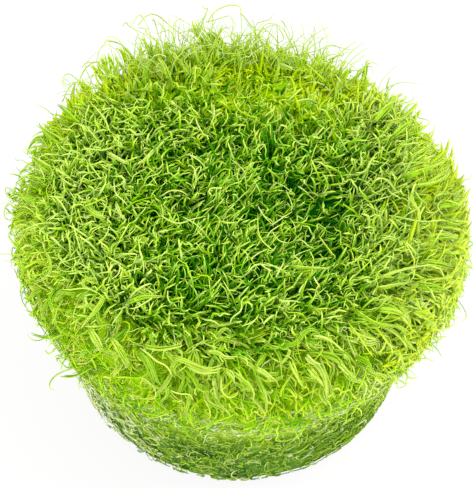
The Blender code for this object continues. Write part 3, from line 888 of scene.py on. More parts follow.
def plantLeaves(name, look, strand, material):
    chance = np.random.default_rng(look["seed"])
    angle, along = scatterOnBed(look["count"] * planting["excess"], chance, *look["along"])
    roots, away = bedPoint(angle, along)
    x, y = roots[:, 0], roots[:, 1]
    nearHollow = smooth(-hollowNear(x, y), *planting["hollow"])
    bare = np.maximum(tangleAt(x, y) * (1 - look["leftShare"]), planting["hollowBare"] * nearHollow)
    inner = smooth(planting["innerEnd"] - along, *planting["innerEase"])
    inner = inner * (1 - smooth(x, *planting["innerRight"])) * (1 - smooth(y, *planting["innerBack"]))
    bare = np.maximum(bare, look["innerBare"] * inner)
    fused = np.maximum(smooth(y, *planting["fusedBack"]), planting["rightShare"] * smooth(x, *planting["fusedRight"]))
    bare = np.maximum(bare, look["fusedBare"] * fused + look["looseBare"] * (1 - fused))
    keep = chance.random(len(roots)) > bare
    roots, away = roots[keep][:look["count"]], away[keep][:look["count"]]
    count = len(roots)
    roots = roots - away * chance.uniform(*planting["depth"], (count, 1))
    x, y = roots[:, 0], roots[:, 1]
    rim = smooth(np.hypot(x, y), *planting["rim"])
    back = smooth(y, *planting["back"])
    clump, gathered = gatherInClumps(roots, look, chance)
    sway = chance.normal(0, planting["sway"], count) + chance.normal(0, planting["clumpSway"], look["clumps"])[clump]
    heading = leanAt(x, y) + math.radians(look["turnSpread"]) * sway
    rise = look["riseMiddle"] + (look["riseRim"] - look["riseMiddle"]) * rim + look["riseBack"] * back
    rise = np.radians(rise + chance.normal(0, planting["riseSpread"], count))
    ways = unit(raised(heading, rise, upward) + away * look["outward"] * rim[:, None])
    axes = away + np.cross(ways, upward) * planting["tilt"]
    axes = unit(axes + chance.normal(0, planting["axisSpread"], (count, 3)))
    bends = drawBends(look, count, chance)
    bends["droop"] *= 1 - planting["backDroop"] * back
    bends["wave"] *= 1 - planting["rightWave"] * smooth(x, *planting["right"])
    lengths = drawLengths(look, count, chance)
    lengths = lengths * (1 + planting["driftLength"] * drift(x, y, planting["driftSize"], planting["driftSeed"]))
    lengths = lengths * (1 - planting["backLength"] * back)
    lengths = lengths * (1 + planting["rightLength"] * smooth(x, *planting["farRight"]))
    path = growPaths(roots, ways, axes, lengths, strand["steps"], bends)
    share = np.linspace(0, 1, strand["steps"] + 1)[None, :, None] ** planting["gatherPower"]
    path = keepIn(path + gathered[:, None] * share, hem=look["hem"], reach=look["reach"])
    across = unit(np.cross(ways, away)) + chance.normal(0, look["roll"], (count, 3))
    repeatAlong(
        name, strand, path, across, drawWidths(look, count, chance),
        leafTint(x, y, chance, look), material, chance.normal(0, look["roll"], count),
    )


plantLeaves("combedLeaves", combedLeaves, leafStrand, middleGreen)
plantLeaves("rimLeaves", rimLeaves, shortStrand, leafGreen)
plantLeaves("fusedLeaves", fusedLeaves, ribbonStrand, fusedGreen)

tangledLeaves = {
    "seed": 34, "count": 2900, "along": (0.0, 39.0), "rimShare": 0.22, "middleShare": 0.14,
    "length": 7.4, "lengthShares": (0.55, 1.3), "width": 0.24, "widthShares": (0.65, 1.6), "rise": 32.0,
    "curl": 2.6, "wave": 8.5, "ripples": (0.9, 2.2), "spiral": 2.0, "droop": (0.0, 1.0),
    "lift": 4.2, "hem": 38.5, "reach": 49.5,
    "tint": 0.28, "tintSpread": 0.14, "paleShare": 0.1, "paler": 0.56,
}
curlyThreads = {
    "seed": 55, "count": 1550, "along": (0.0, 58.0), "rimShare": 0.8, "middleShare": 0.2,
    "length": 9.0, "lengthShares": (0.5, 1.4), "width": 0.17, "widthShares": (0.7, 1.5), "rise": 8.0,
    "curl": 2.6, "wave": 7.0, "ripples": (1.0, 2.2), "spiral": 2.6, "droop": (0.2, 1.0),
    "lift": 5.8, "hem": 35.0, "reach": 50.5,
    "tint": 0.28, "tintSpread": 0.13, "paleShare": 0.04, "paler": 0.76,
}
# what both tangled kinds share, in the same way
tangling = {
    "excess": 6, "rimFrom": (38, 44), "back": (16, 32), "backLess": 0.8, "middleBack": (12, 28), "rim": (34, 44),
    "liftPower": 1.3, "sunk": 0.6, "rimLift": 0.55, "outward": 0.5, "riseSpread": 20, "axisSpread": 0.7,
    "rimLength": 0.3, "evenShare": 0.6, "range": (0.03, 0.99), "twist": 1.5,
}


def tangleLeaves(name, look, strand, material):
    chance = np.random.default_rng(look["seed"])
    angle, along = scatterOnBed(look["count"] * tangling["excess"], chance, *look["along"])
    roots, away = bedPoint(angle, along)
    x, y = roots[:, 0], roots[:, 1]
    share = np.maximum(tangleAt(x, y), look["rimShare"] * smooth(along, *tangling["rimFrom"]))
    share = share * (1 - tangling["backLess"] * smooth(y, *tangling["back"]))
    middle = look["middleShare"] * (1 - tangling["backLess"] * smooth(y, *tangling["middleBack"]))
    keep = chance.random(len(roots)) < np.maximum(share, middle)
    roots, away = roots[keep][:look["count"]], away[keep][:look["count"]]
    count = len(roots)
    x, y = roots[:, 0], roots[:, 1]
    rim = smooth(np.hypot(x, y), *tangling["rim"])
    lift = chance.random(count) ** tangling["liftPower"]
    roots = roots + away * ((lift * look["lift"] - tangling["sunk"]) * (1 - tangling["rimLift"] * rim))[:, None]
    heading = chance.random(count) * fullTurn
    heading = heading + tangling["outward"] * rim * np.angle(np.exp(1j * (leanAt(x, y) - heading)))
    rise = np.radians(look["rise"] + chance.normal(0, tangling["riseSpread"], count))
    ways = unit(raised(heading, rise, away))
    axes = unit(away + chance.normal(0, tangling["axisSpread"], (count, 3)))
    lengths = drawLengths(look, count, chance) * (1 - tangling["rimLength"] * rim)
    path = growPaths(roots, ways, axes, lengths, strand["steps"], drawBends(look, count, chance))
    # strands that lie higher are paler and those deep in the tangle darker: painted light and shade by depth, weaker
    # at the rim and the back
    even = np.maximum(rim, smooth(y, *tangling["middleBack"]))
    lifted = look["paler"] * lift * (1 - tangling["evenShare"] * even)
    tints = np.clip(leafTint(x, y, chance, look) + lifted, *tangling["range"])
    repeatAlong(
        name, strand, keepIn(path, hem=look["hem"], reach=look["reach"]), chance.normal(0, 1, (count, 3)),
        drawWidths(look, count, chance), tints, material, chance.normal(0, tangling["twist"], count),
    )


tangleLeaves("tangledLeaves", tangledLeaves, curlStrand, middleGreen)
tangleLeaves("curlyThreads", curlyThreads, threadStrand, threadGreen)


# the solids that a piece stands for, and each one's direction from the middle
def nodesCalled(start):
    nodes = [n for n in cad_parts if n.startswith(start)]
    middles = np.array([[(low + high) / 2 / mm for low, high in zip(*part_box(n))] for n in nodes])
    return nodes, np.arctan2(middles[:, 1], middles[:, 0])


# locks of fused leaves drooping over the rim, one at each strap leaf of the solids and more between them
strapLocks = {
    "seed": 77, "count": 270, "each": 5, "along": (32.0, 47.0), "lift": (0.2, 1.9),
    "length": 9.5, "lengthShares": (0.6, 1.3), "width": 0.21, "widthShares": (0.7, 1.4),
    "apart": 0.46, "apartShares": (0.5, 1.5),
    "curl": 1.1, "wave": 5.0, "ripples": (0.7, 1.4), "spiral": 0.6, "droop": (0.7, 2.0),
    "frontShare": 0.62, "frontAt": -1.35, "frontSpread": 0.7, "turnSpread": 0.4,
    "rise": 8, "riseSpread": 14, "rim": (38, 48), "rimDrop": 26, "back": (8, 34), "backRise": 40, "backDroop": 0.8,
    "axisSpread": 0.4, "twist": 0.9, "hem": 38.0, "reach": 50.5,
    "tint": 0.7, "tintSpread": 0.07, "right": (16, 36), "rightLighter": 0.12, "tintRange": (0.4, 0.98),
}


def makeStrapLocks():
    look = strapLocks
    chance = np.random.default_rng(look["seed"])
    nodes, directions = nodesCalled("strap_leaf")
    count = look["count"]
    atFront = chance.random(count) < look["frontShare"]
    front = chance.normal(look["frontAt"], look["frontSpread"], count)
    angle = np.where(atFront, front, chance.random(count) * fullTurn)
    angle[:len(nodes)] = directions
    along = chance.uniform(*look["along"], count)
    roots, away = bedPoint(angle, along)
    roots = roots + away * chance.uniform(*look["lift"], (count, 1))
    x, y = roots[:, 0], roots[:, 1]
    back = smooth(y, *look["back"])
    heading = leanAt(x, y) + chance.normal(0, look["turnSpread"], count)
    rise = chance.normal(look["rise"], look["riseSpread"], count) - look["rimDrop"] * smooth(along, *look["rim"])
    ways = raised(heading, np.radians(rise + look["backRise"] * back), upward)
    axes = unit(away + chance.normal(0, look["axisSpread"], (count, 3)))
    bends = drawBends(look, count, chance)
    bends["droop"] *= 1 - look["backDroop"] * back
    path = growPaths(roots, ways, axes, drawLengths(look, count, chance), threadStrand["steps"], bends)
    path = spreadLocks(path, away, look["each"], look["apart"] * chance.uniform(*look["apartShares"], count), chance)
    total = len(path)
    # painted light: the locks are lighter to the right, the key lamp's side
    tints = chance.normal(look["tint"], look["tintSpread"], count) + look["rightLighter"] * smooth(x, *look["right"])
    tints = np.tile(tints, look["each"]) + chance.normal(0, look["tintSpread"], total)
    leaves = repeatAlong(
        "strapLocks", threadStrand, keepIn(path, hem=look["hem"], reach=look["reach"]),
        chance.normal(0, 1, (total, 3)), drawWidths(look, total, chance), np.clip(tints, *look["tintRange"]),
        lockGreen, chance.normal(0, look["twist"], total),
    )
    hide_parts(*nodes)


makeStrapLocks()

# pale runners that arch out at the back and sides
looseRunners = {
    "seed": 91, "count": 540, "perNode": 4, "along": (36.0, 47.0), "lift": (0.0, 3.0),
    "length": 13.0, "lengthShares": (0.5, 1.35), "frontShorter": 0.5, "width": 0.12, "widthShares": (0.7, 1.5),
    "curl": 2.4, "wave": 7.5, "ripples": (0.9, 2.1), "spiral": 2.2, "droop": (0.4, 1.9),
    "backShare": 0.62, "backAt": math.pi / 2 + 0.12, "backSpread": 0.62, "turnSpread": 0.55,
    "rise": 12, "riseSpread": 14, "back": (18, 40), "backRise": 40, "backDroop": 0.45, "axisSpread": 0.9,
    "hem": 26.0, "tint": 0.66, "tintSpread": 0.18, "tintRange": (0.05, 0.98),
}


def makeLooseRunners():
    look = looseRunners
    chance = np.random.default_rng(look["seed"])
    nodes, directions = nodesCalled("runner_0")
    count = look["count"]
    behind = chance.random(count) < look["backShare"]
    backward = chance.normal(look["backAt"], look["backSpread"], count)
    angle = np.where(behind, backward, chance.random(count) * fullTurn)
    angle[:len(nodes) * look["perNode"]] = np.repeat(directions, look["perNode"])
    roots, away = bedPoint(angle, chance.uniform(*look["along"], count))
    roots = roots + away * chance.uniform(*look["lift"], (count, 1))
    heading = angle + chance.normal(0, look["turnSpread"], count)
    back = smooth(roots[:, 1], *look["back"])
    rise = np.radians(chance.normal(look["rise"], look["riseSpread"], count) + look["backRise"] * back)
    ways = unit(raised(heading, rise, upward))
    axes = unit(np.cross(ways, upward) + chance.normal(0, look["axisSpread"], (count, 3)))
    bends = drawBends(look, count, chance)
    bends["droop"] *= 1 - look["backDroop"] * back
    shorter = look["frontShorter"]
    lengths = drawLengths(look, count, chance) * (1 - shorter + shorter * back)
    path = keepIn(growPaths(roots, ways, axes, lengths, longStrand["steps"], bends), hem=look["hem"])
    tints = np.clip(chance.normal(look["tint"], look["tintSpread"], count), *look["tintRange"])
    threads = repeatAlong(
        "looseRunners", longStrand, path, chance.normal(0, 1, (count, 3)), drawWidths(look, count, chance),
        tints, runnerPale,
    )
    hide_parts(*nodes)
    return path


# small bags on the runners, near their roots, each with its mouth drawn out
bladders = {
    "seed": 92, "count": 60, "size": 0.3, "sizeShares": (0.6, 1.3), "tall": 1.25, "joints": (1, 5),
    "mouthFrom": 0.7, "mouthOut": (0.35, 0, 0.55), "mouthWidth": 0.6,
    "tint": 0.5, "tintSpread": 0.2, "tintRange": (0.05, 0.98),
}


def makeBladders(runnerPaths):
    look = bladders
    chance = np.random.default_rng(look["seed"])
    deselect()
    bpy.ops.mesh.primitive_uv_sphere_add(segments=7, ring_count=5, radius=1)
    bag = bpy.context.object
    editPicked(bag, "VERT", lambda vertex: vertex.co.z > look["mouthFrom"])
    bpy.ops.transform.translate(value=look["mouthOut"])
    bpy.ops.transform.resize(value=(look["mouthWidth"], look["mouthWidth"], 1))
    bpy.ops.mesh.select_all(action="SELECT")
    bpy.ops.mesh.quads_convert_to_tris()
    switchTo("OBJECT")
    spots, faces = takeApart(bag)
    count = look["count"]
    owner = chance.integers(0, len(runnerPaths), count)
    centres = runnerPaths[owner, chance.integers(*look["joints"], count)]
    sizes = look["size"] * chance.uniform(*look["sizeShares"], count)
    turns = chance.random(count) * fullTurn
    c, s = np.cos(turns)[:, None], np.sin(turns)[:, None]
    x, y = spots[:, 0] * c - spots[:, 1] * s, spots[:, 0] * s + spots[:, 1] * c
    z = np.broadcast_to(spots[:, 2] * look["tall"] - 1, (count, len(spots)))
    placed = np.stack([x, y, z], axis=2) * sizes[:, None, None] + centres[:, None]
    allFaces = faces[None] + (np.arange(count) * len(spots))[:, None, None]
    around = np.arctan2(spots[:, 1], spots[:, 0]) / fullTurn + 0.5
    up = np.clip((spots[:, 2] + 1) / (2 + look["mouthWidth"]), 0, 1)
    corners = np.stack([np.abs(around[faces] * 2 - 1), up[faces]], axis=2)
    tints = np.clip(chance.normal(look["tint"], look["tintSpread"], count), *look["tintRange"])
    places = mapPlaces(tints, corners)
    meshPiece("bladders", (placed * mm).reshape(-1, 3), allFaces.reshape(-1, 3), places, runnerPale)


makeBladders(makeLooseRunners())

# the pressed felt of curled runners on the mat's wall; on its combed side they lie along one slant
wallFelt = {
    "seed": 13, "count": 4900, "length": 4.2, "lengthShares": (0.5, 1.7), "width": 0.15, "widthShares": (0.6, 1.5),
    "lowest": 0.8, "highest": 43.5, "crowding": 0.76, "curl": 6.5, "loops": 3.0, "wave": 6.0, "steep": 1.3,
    "combedAt": -35, "combedFrom": (0.6, 0.95), "slanted": 0.1, "combedSlanted": 0.6, "slant": 24.0,
    "slantSpread": 0.35, "combedCurl": 0.7, "combedWave": 0.5, "pressed": 0.65,
    "proud": (0.0, 1.3), "proudShare": 0.6, "lift": 0.42, "mostLift": 0.9, "liftFrom": (1, 8),
    "flankOut": 0.4, "flankFrom": (26, 32), "footIn": 1.6, "footHeight": 3.0, "floor": 0.4,
    "lowTint": 0.5, "leftAt": 0.35, "left": (-0.1, 0.6), "leftLighter": 0.66, "foot": (-11, -1), "footDarker": 0.2,
    "highTint": 0.64, "high": (18, 30), "bands": 0.1, "bandCount": 3, "bandHeight": 7, "tintSpread": 0.25,
}


def makeWallFelt():
    look = wallFelt
    chance = np.random.default_rng(look["seed"])
    count, steps = look["count"], shortStrand["steps"]
    angle = chance.random(count) * fullTurn
    height = look["lowest"] + (look["highest"] - 1) * chance.random(count) ** look["crowding"]
    lengths = drawLengths(look, count, chance)
    combed = smooth(np.cos(angle - math.radians(look["combedAt"])), *look["combedFrom"])
    slanted = chance.random(count) < look["slanted"] + look["combedSlanted"] * combed
    slant = chance.normal(math.radians(look["slant"]), look["slantSpread"], count)
    heading = np.where(slanted, slant, chance.random(count) * fullTurn)
    curl = chance.normal(0, look["curl"], count) + chance.choice((-look["loops"], look["loops"]), count)
    curl = curl * (1 - look["combedCurl"] * combed)
    wave = chance.normal(0, look["wave"], count) * (1 - look["combedWave"] * combed)
    phase = chance.random(count) * fullTurn
    pressed = 1 - look["pressed"] * combed
    proud = chance.uniform(*look["proud"], count) * pressed
    lift = np.minimum(chance.exponential(look["lift"], count), look["mostLift"])
    lift = lift * smooth(height, *look["liftFrom"]) * pressed
    path = np.zeros((count, steps + 1, 3))
    for k in range(steps + 1):
        share = k / steps
        radius = flankRadius(height, angle) + look["flankOut"] * smooth(height, *look["flankFrom"])
        radius = radius + proud * look["proudShare"] + lift * math.sin(math.pi * share)
        radius = radius - look["footIn"] * np.clip(1 - height / look["footHeight"], 0, 1) ** 2
        path[:, k] = np.stack([radius * np.cos(angle), radius * np.sin(angle), height], axis=1)
        heading = heading + (curl + wave * np.sin(phase + fullTurn * share)) / steps
        angle = angle + np.cos(heading) * lengths / steps / radius
        height = height + look["steep"] * np.sin(heading) * lengths / steps
        height = np.clip(height, look["floor"], look["highest"])
    middle = path[:, steps // 2]
    around = np.arctan2(middle[:, 1], middle[:, 0])
    high = smooth(middle[:, 2], *look["high"])
    # painted light: the felt is lighter to the left, lifting the shade on the side away from the key lamp
    left = smooth(-np.cos(around + look["leftAt"]), *look["left"])
    low = look["lowTint"] + look["leftLighter"] * left - look["footDarker"] * smooth(-middle[:, 2], *look["foot"])
    bands = look["bands"] * np.sin(around * look["bandCount"] + middle[:, 2] / look["bandHeight"])
    tints = low + (look["highTint"] - low) * high + bands + chance.normal(0, look["tintSpread"], count)
    repeatAlong(
        "wallFelt", shortStrand, keepIn(path), level(np.arctan2(path[:, 0, 1], path[:, 0, 0])),
        drawWidths(look, count, chance), np.clip(tints, 0.03, 0.99), feltGreen,
    )


makeWallFelt()

# the dense outline of the leaves, in mm, that the pieces placed by pixel lie on
outer = {
    "heights": (0, 24, 28, 33, 40, 48, 55, 60),
    "radii": (36.8, 41.6, 43.6, 46.0, 48.2, 48.4, 46.5, 41.0),
    "top": 60.0,
}
# the fringe behind the rim stands on a slanting fan, square to the photograph's view
fan = {"behind": 44.0, "height": 50.0, "slope": 0.955}
# how far from the camera the plug is looked for, in mm, and at what steps
search = {"from": 250.0, "to": 420.0, "step": 0.3, "hollowShare": 0.8}


def pixelWay(across, down):
    way = Vector(((across - shot["width"] / 2) / shot["focal"], (shot["height"] / 2 - down) / shot["focal"], -1))
    return camera.matrix_world.to_3x3() @ way


# how far points lie outside the plug, in mm
def beyondPlug(x, y, z):
    limit = np.interp(z, outer["heights"], outer["radii"]) * outlineAt(np.arctan2(y, x)) ** 0.5
    return np.maximum(np.hypot(x, y) - limit, z - outer["top"] + hollowAt(x, y) * search["hollowShare"])


# the place on the plug that a pixel of the photograph shows, or passes nearest to, lifted towards the camera
def placeOnPlug(across, down, lift):
    way = np.array(pixelWay(across, down))
    far = np.arange(search["from"], search["to"], search["step"])[:, None]
    spots = np.array(camera.location / mm) + way * far
    gaps = beyondPlug(spots[:, 0], spots[:, 1], spots[:, 2])
    first = np.argmax(gaps <= 0) if gaps.min() <= 0 else gaps.argmin()
    return spots[first] - way * lift


def placeOnFan(across, down, lift):
    way, start = pixelWay(across, down), camera.location / mm
    far = (fan["height"] + (start.y - fan["behind"]) * fan["slope"] - start.z) / (way.z - way.y * fan["slope"])
    return np.array(start + way * (far - lift))


def splinePoints(points, steps):
    points = np.reshape(points, (-1, 2)).astype(float)
    padded = np.vstack([2 * points[0] - points[1], points, 2 * points[-1] - points[-2]])
    spots = []
    for share in np.linspace(0, len(points) - 1, steps + 1):
        k = min(int(share), len(points) - 2)
        t = share - k
        a, b, c, d = padded[k:k + 4]
        bend = (2 * a - 5 * b + 4 * c - d) * t ** 2 + (3 * b - a - 3 * c + d) * t ** 3
        spots.append(0.5 * (2 * b + (c - a) * t + bend))
    return spots


def drawnPath(drawn, steps, place, lift):
    spots = np.array([place(x, y, lift) for x, y in splinePoints(drawn, steps)])
    for _ in range(2):
        spots[1:-1] = (spots[:-2] + 2 * spots[1:-1] + spots[2:]) / 4
    return spots


# locks that the photograph shows one by one
# a row has half the spread in mm, the tint, the lift in mm, then places in its frame, across and down, root to tip
shownLocks = {
    "seed": 5, "each": 4, "width": 0.24, "widthShares": (0.75, 1.3), "liftShare": 0.5, "apartShare": 0.8,
    "rootDepth": 1.2, "darker": 0.08, "tintSpread": 0.07, "tintRange": (0.3, 0.99), "twist": 0.6,
    "rows": (
        (0.7, 0.88, 1.3, 90, 330, 98, 344, 103, 352), (0.7, 0.88, 1.5, 112, 338, 120, 350, 126, 364, 129, 376),
        (0.4, 0.84, 1.6, 118, 346, 125, 356, 131, 368), (1.0, 0.68, 1.0, 138, 350, 148, 362, 156, 384, 159, 390),
        (0.5, 0.78, 1.6, 144, 346, 158, 349, 174, 347, 184, 343),
        (0.8, 0.88, 1.9, 174, 356, 190, 362, 202, 369, 216, 370, 228, 365),
        (0.4, 0.8, 1.6, 186, 364, 198, 370, 210, 372, 226, 370),
        (0.35, 0.86, 1.8, 206, 352, 218, 352, 224, 358, 234, 357, 240, 358),
        (0.6, 0.92, 1.8, 226, 370, 232, 376, 235, 384), (0.35, 0.92, 1.2, 214, 378, 216, 394, 220, 406, 227, 410),
        (0.5, 0.86, 1.4, 230, 370, 242, 378, 252, 388, 254, 398, 248, 401),
        (0.35, 0.88, 1.0, 250, 396, 260, 406, 268, 420), (0.55, 0.88, 1.5, 256, 368, 266, 374, 278, 386),
        (0.4, 0.76, 1.2, 184, 368, 194, 378, 200, 390, 212, 392), (0.9, 0.88, 1.8, 313, 336, 331, 341, 347, 355),
        (0.45, 0.86, 1.5, 356, 310, 370, 320, 382, 326, 398, 324, 406, 334, 412, 342),
        (0.6, 0.92, 1.6, 380, 309, 396, 312, 410, 319), (0.55, 0.94, 1.8, 306, 356, 312, 362, 322, 366),
        (0.4, 0.86, 1.5, 350, 330, 362, 336, 380, 340), (0.65, 0.9, 1.5, 340, 364, 348, 374, 360, 382),
        (0.65, 0.92, 1.5, 310, 368, 318, 378, 328, 390), (0.5, 0.86, 1.4, 290, 362, 296, 374, 304, 390),
        (0.6, 0.76, 1.2, 402, 336, 410, 346, 422, 354), (0.4, 0.84, 1.2, 358, 378, 364, 388, 368, 398),
        (0.45, 0.88, 1.6, 380, 278, 396, 271, 418, 266, 438, 264), (0.35, 0.86, 1.6, 378, 288, 398, 284, 418, 280),
        (0.3, 0.88, 1.8, 292, 267, 310, 268, 334, 268), (0.4, 0.8, 1.2, 45, 252, 50, 260, 50, 272, 44, 280, 32, 283),
        (0.55, 0.84, 1.5, 104, 298, 98, 308, 86, 322, 80, 330),
        (0.45, 0.66, 1.5, 129, 302, 140, 297, 156, 296, 172, 298), (0.45, 0.8, 1.4, 87, 207, 96, 215, 111, 220),
        (0.35, 0.94, 1.6, 116, 203, 120, 213, 126, 221), (0.4, 0.93, 1.5, 107, 153, 120, 160, 134, 165),
        (0.45, 0.93, 1.6, 154, 151, 145, 160, 132, 166), (0.5, 0.82, 1.3, 374, 122, 384, 112, 398, 96, 404, 93),
        (0.4, 0.86, 1.3, 386, 122, 396, 120, 409, 116), (0.35, 0.88, 1.4, 412, 194, 413, 204, 420, 212, 421, 226),
        (0.35, 0.8, 1.4, 397, 158, 400, 146, 412, 138, 420, 136), (0.8, 0.84, 1.2, 406, 178, 428, 168, 450, 161),
        (0.6, 0.78, 1.0, 410, 186, 430, 184, 446, 178, 451, 164),
        (0.5, 0.76, 0.8, 440, 206, 456, 204, 463, 196, 464, 184), (0.5, 0.76, 0.8, 446, 222, 460, 224, 466, 214),
        (0.9, 0.72, 0.6, 80, 122, 66, 110, 54, 100), (0.9, 0.74, 0.6, 62, 144, 48, 134, 36, 124),
        (0.9, 0.72, 0.6, 50, 170, 36, 160, 25, 153), (0.9, 0.74, 0.6, 36, 200, 22, 196, 10, 192),
        (0.9, 0.78, 0.6, 378, 118, 390, 106, 400, 99), (0.9, 0.78, 0.6, 394, 136, 406, 126, 416, 119),
        (0.9, 0.8, 0.6, 410, 160, 424, 150, 434, 143), (0.9, 0.82, 0.6, 424, 184, 440, 175, 452, 168),
        (0.9, 0.82, 0.6, 428, 238, 446, 236, 462, 240), (0.9, 0.82, 0.6, 424, 262, 444, 264, 460, 270),
        (0.9, 0.8, 0.6, 418, 284, 438, 288, 456, 294), (0.6, 0.7, 0.6, 17, 200, 10, 196, 6, 190),
        (0.5, 0.76, 0.8, 436, 300, 450, 304, 462, 312), (0.4, 0.66, 0.6, 58, 336, 42, 337, 26, 331),
        (0.4, 0.7, 0.6, 94, 366, 76, 376, 58, 376),
    ),
}
# thin pale threads, the same way, with half their width in mm in place of the spread
shownThreads = {
    "rootDepth": 1.5,
    "rows": (
        (0.2, 0.99, 2.0, 258, 206, 264, 216, 272, 224), (0.22, 0.99, 2.2, 270, 226, 282, 218, 293, 211),
        (0.17, 0.99, 2.0, 266, 238, 272, 230, 288, 221), (0.17, 0.9, 2.0, 290, 218, 295, 226, 295, 234),
        (0.13, 0.84, 1.8, 258, 232, 276, 233, 294, 233),
        (0.18, 0.88, 2.0, 258, 214, 258, 230, 261, 240, 270, 248, 275, 251),
        (0.18, 0.94, 2.0, 272, 230, 276, 238, 282, 242, 290, 243),
        (0.18, 0.97, 2.0, 296, 241, 302, 240, 308, 246, 316, 249), (0.17, 0.95, 2.0, 250, 258, 258, 253, 268, 249),
        (0.17, 0.9, 2.0, 243, 249, 248, 254, 247, 260), (0.2, 0.94, 2.0, 260, 262, 268, 268, 273, 269),
        (0.15, 0.97, 2.0, 290, 258, 300, 253, 314, 248), (0.26, 0.86, 2.2, 319, 236, 328, 248, 335, 256),
        (0.2, 0.99, 2.2, 284, 262, 279, 270, 276, 276), (0.2, 0.99, 2.0, 299, 292, 301, 287, 304, 282),
        (0.2, 0.99, 2.0, 314, 276, 317, 281, 320, 286), (0.17, 0.95, 2.0, 286, 190, 292, 204, 291, 212),
        (0.2, 0.98, 2.0, 298, 186, 304, 190, 309, 194), (0.18, 0.96, 2.0, 114, 179, 115, 192, 122, 198, 129, 206),
        (0.2, 0.94, 2.0, 160, 213, 168, 219, 180, 223, 190, 218, 210, 214),
        (0.2, 0.94, 2.0, 160, 196, 170, 189, 182, 190, 189, 195), (0.18, 0.99, 2.0, 120, 262, 119, 272, 110, 279),
        (0.2, 0.97, 1.8, 188, 153, 200, 160, 207, 168), (0.22, 0.96, 1.8, 196, 118, 199, 126, 206, 136),
        (0.2, 0.98, 1.8, 214, 104, 214, 116, 210, 125),
        (0.24, 0.92, 1.8, 140, 348, 150, 354, 156, 362, 164, 363, 170, 370, 172, 376),
        (0.26, 0.88, 1.4, 222, 376, 221, 390, 228, 398, 236, 396, 238, 390),
        (0.24, 0.92, 1.2, 140, 386, 142, 378, 148, 380, 158, 394, 154, 399, 146, 400),
        (0.2, 0.92, 1.2, 170, 390, 180, 394, 190, 394, 194, 402), (0.22, 0.86, 1.0, 204, 398, 210, 410, 210, 418),
        (0.28, 0.92, 1.2, 332, 390, 338, 388, 342, 392, 338, 398),
        (0.2, 0.84, 1.6, 348, 322, 358, 334, 368, 350, 374, 358),
        (0.14, 0.6, 0.5, 16, 196, 7, 186, 5, 190, 7, 197, 14, 200),
        (0.14, 0.6, 0.5, 16, 222, 4, 218, 6, 206, 17, 201),
        (0.12, 0.5, 0.5, 42, 280, 26, 286, 20, 298, 28, 310, 38, 322),
        (0.12, 0.5, 0.5, 48, 308, 36, 318, 44, 331, 58, 351), (0.13, 0.5, 0.5, 54, 330, 42, 340, 32, 340, 27, 334),
        (0.2, 0.74, 0.5, 84, 366, 60, 372, 50, 381, 48, 389, 54, 391),
        (0.13, 0.55, 0.5, 452, 209, 463, 206, 465, 219, 458, 226),
        (0.13, 0.55, 0.5, 458, 300, 464, 308, 469, 318, 462, 322), (0.16, 0.55, 0.5, 430, 342, 438, 350, 444, 359),
        (0.11, 0.5, 0.3, 106, 396, 95, 404, 91, 412, 84, 424, 81, 434, 82, 443),
    ),
}
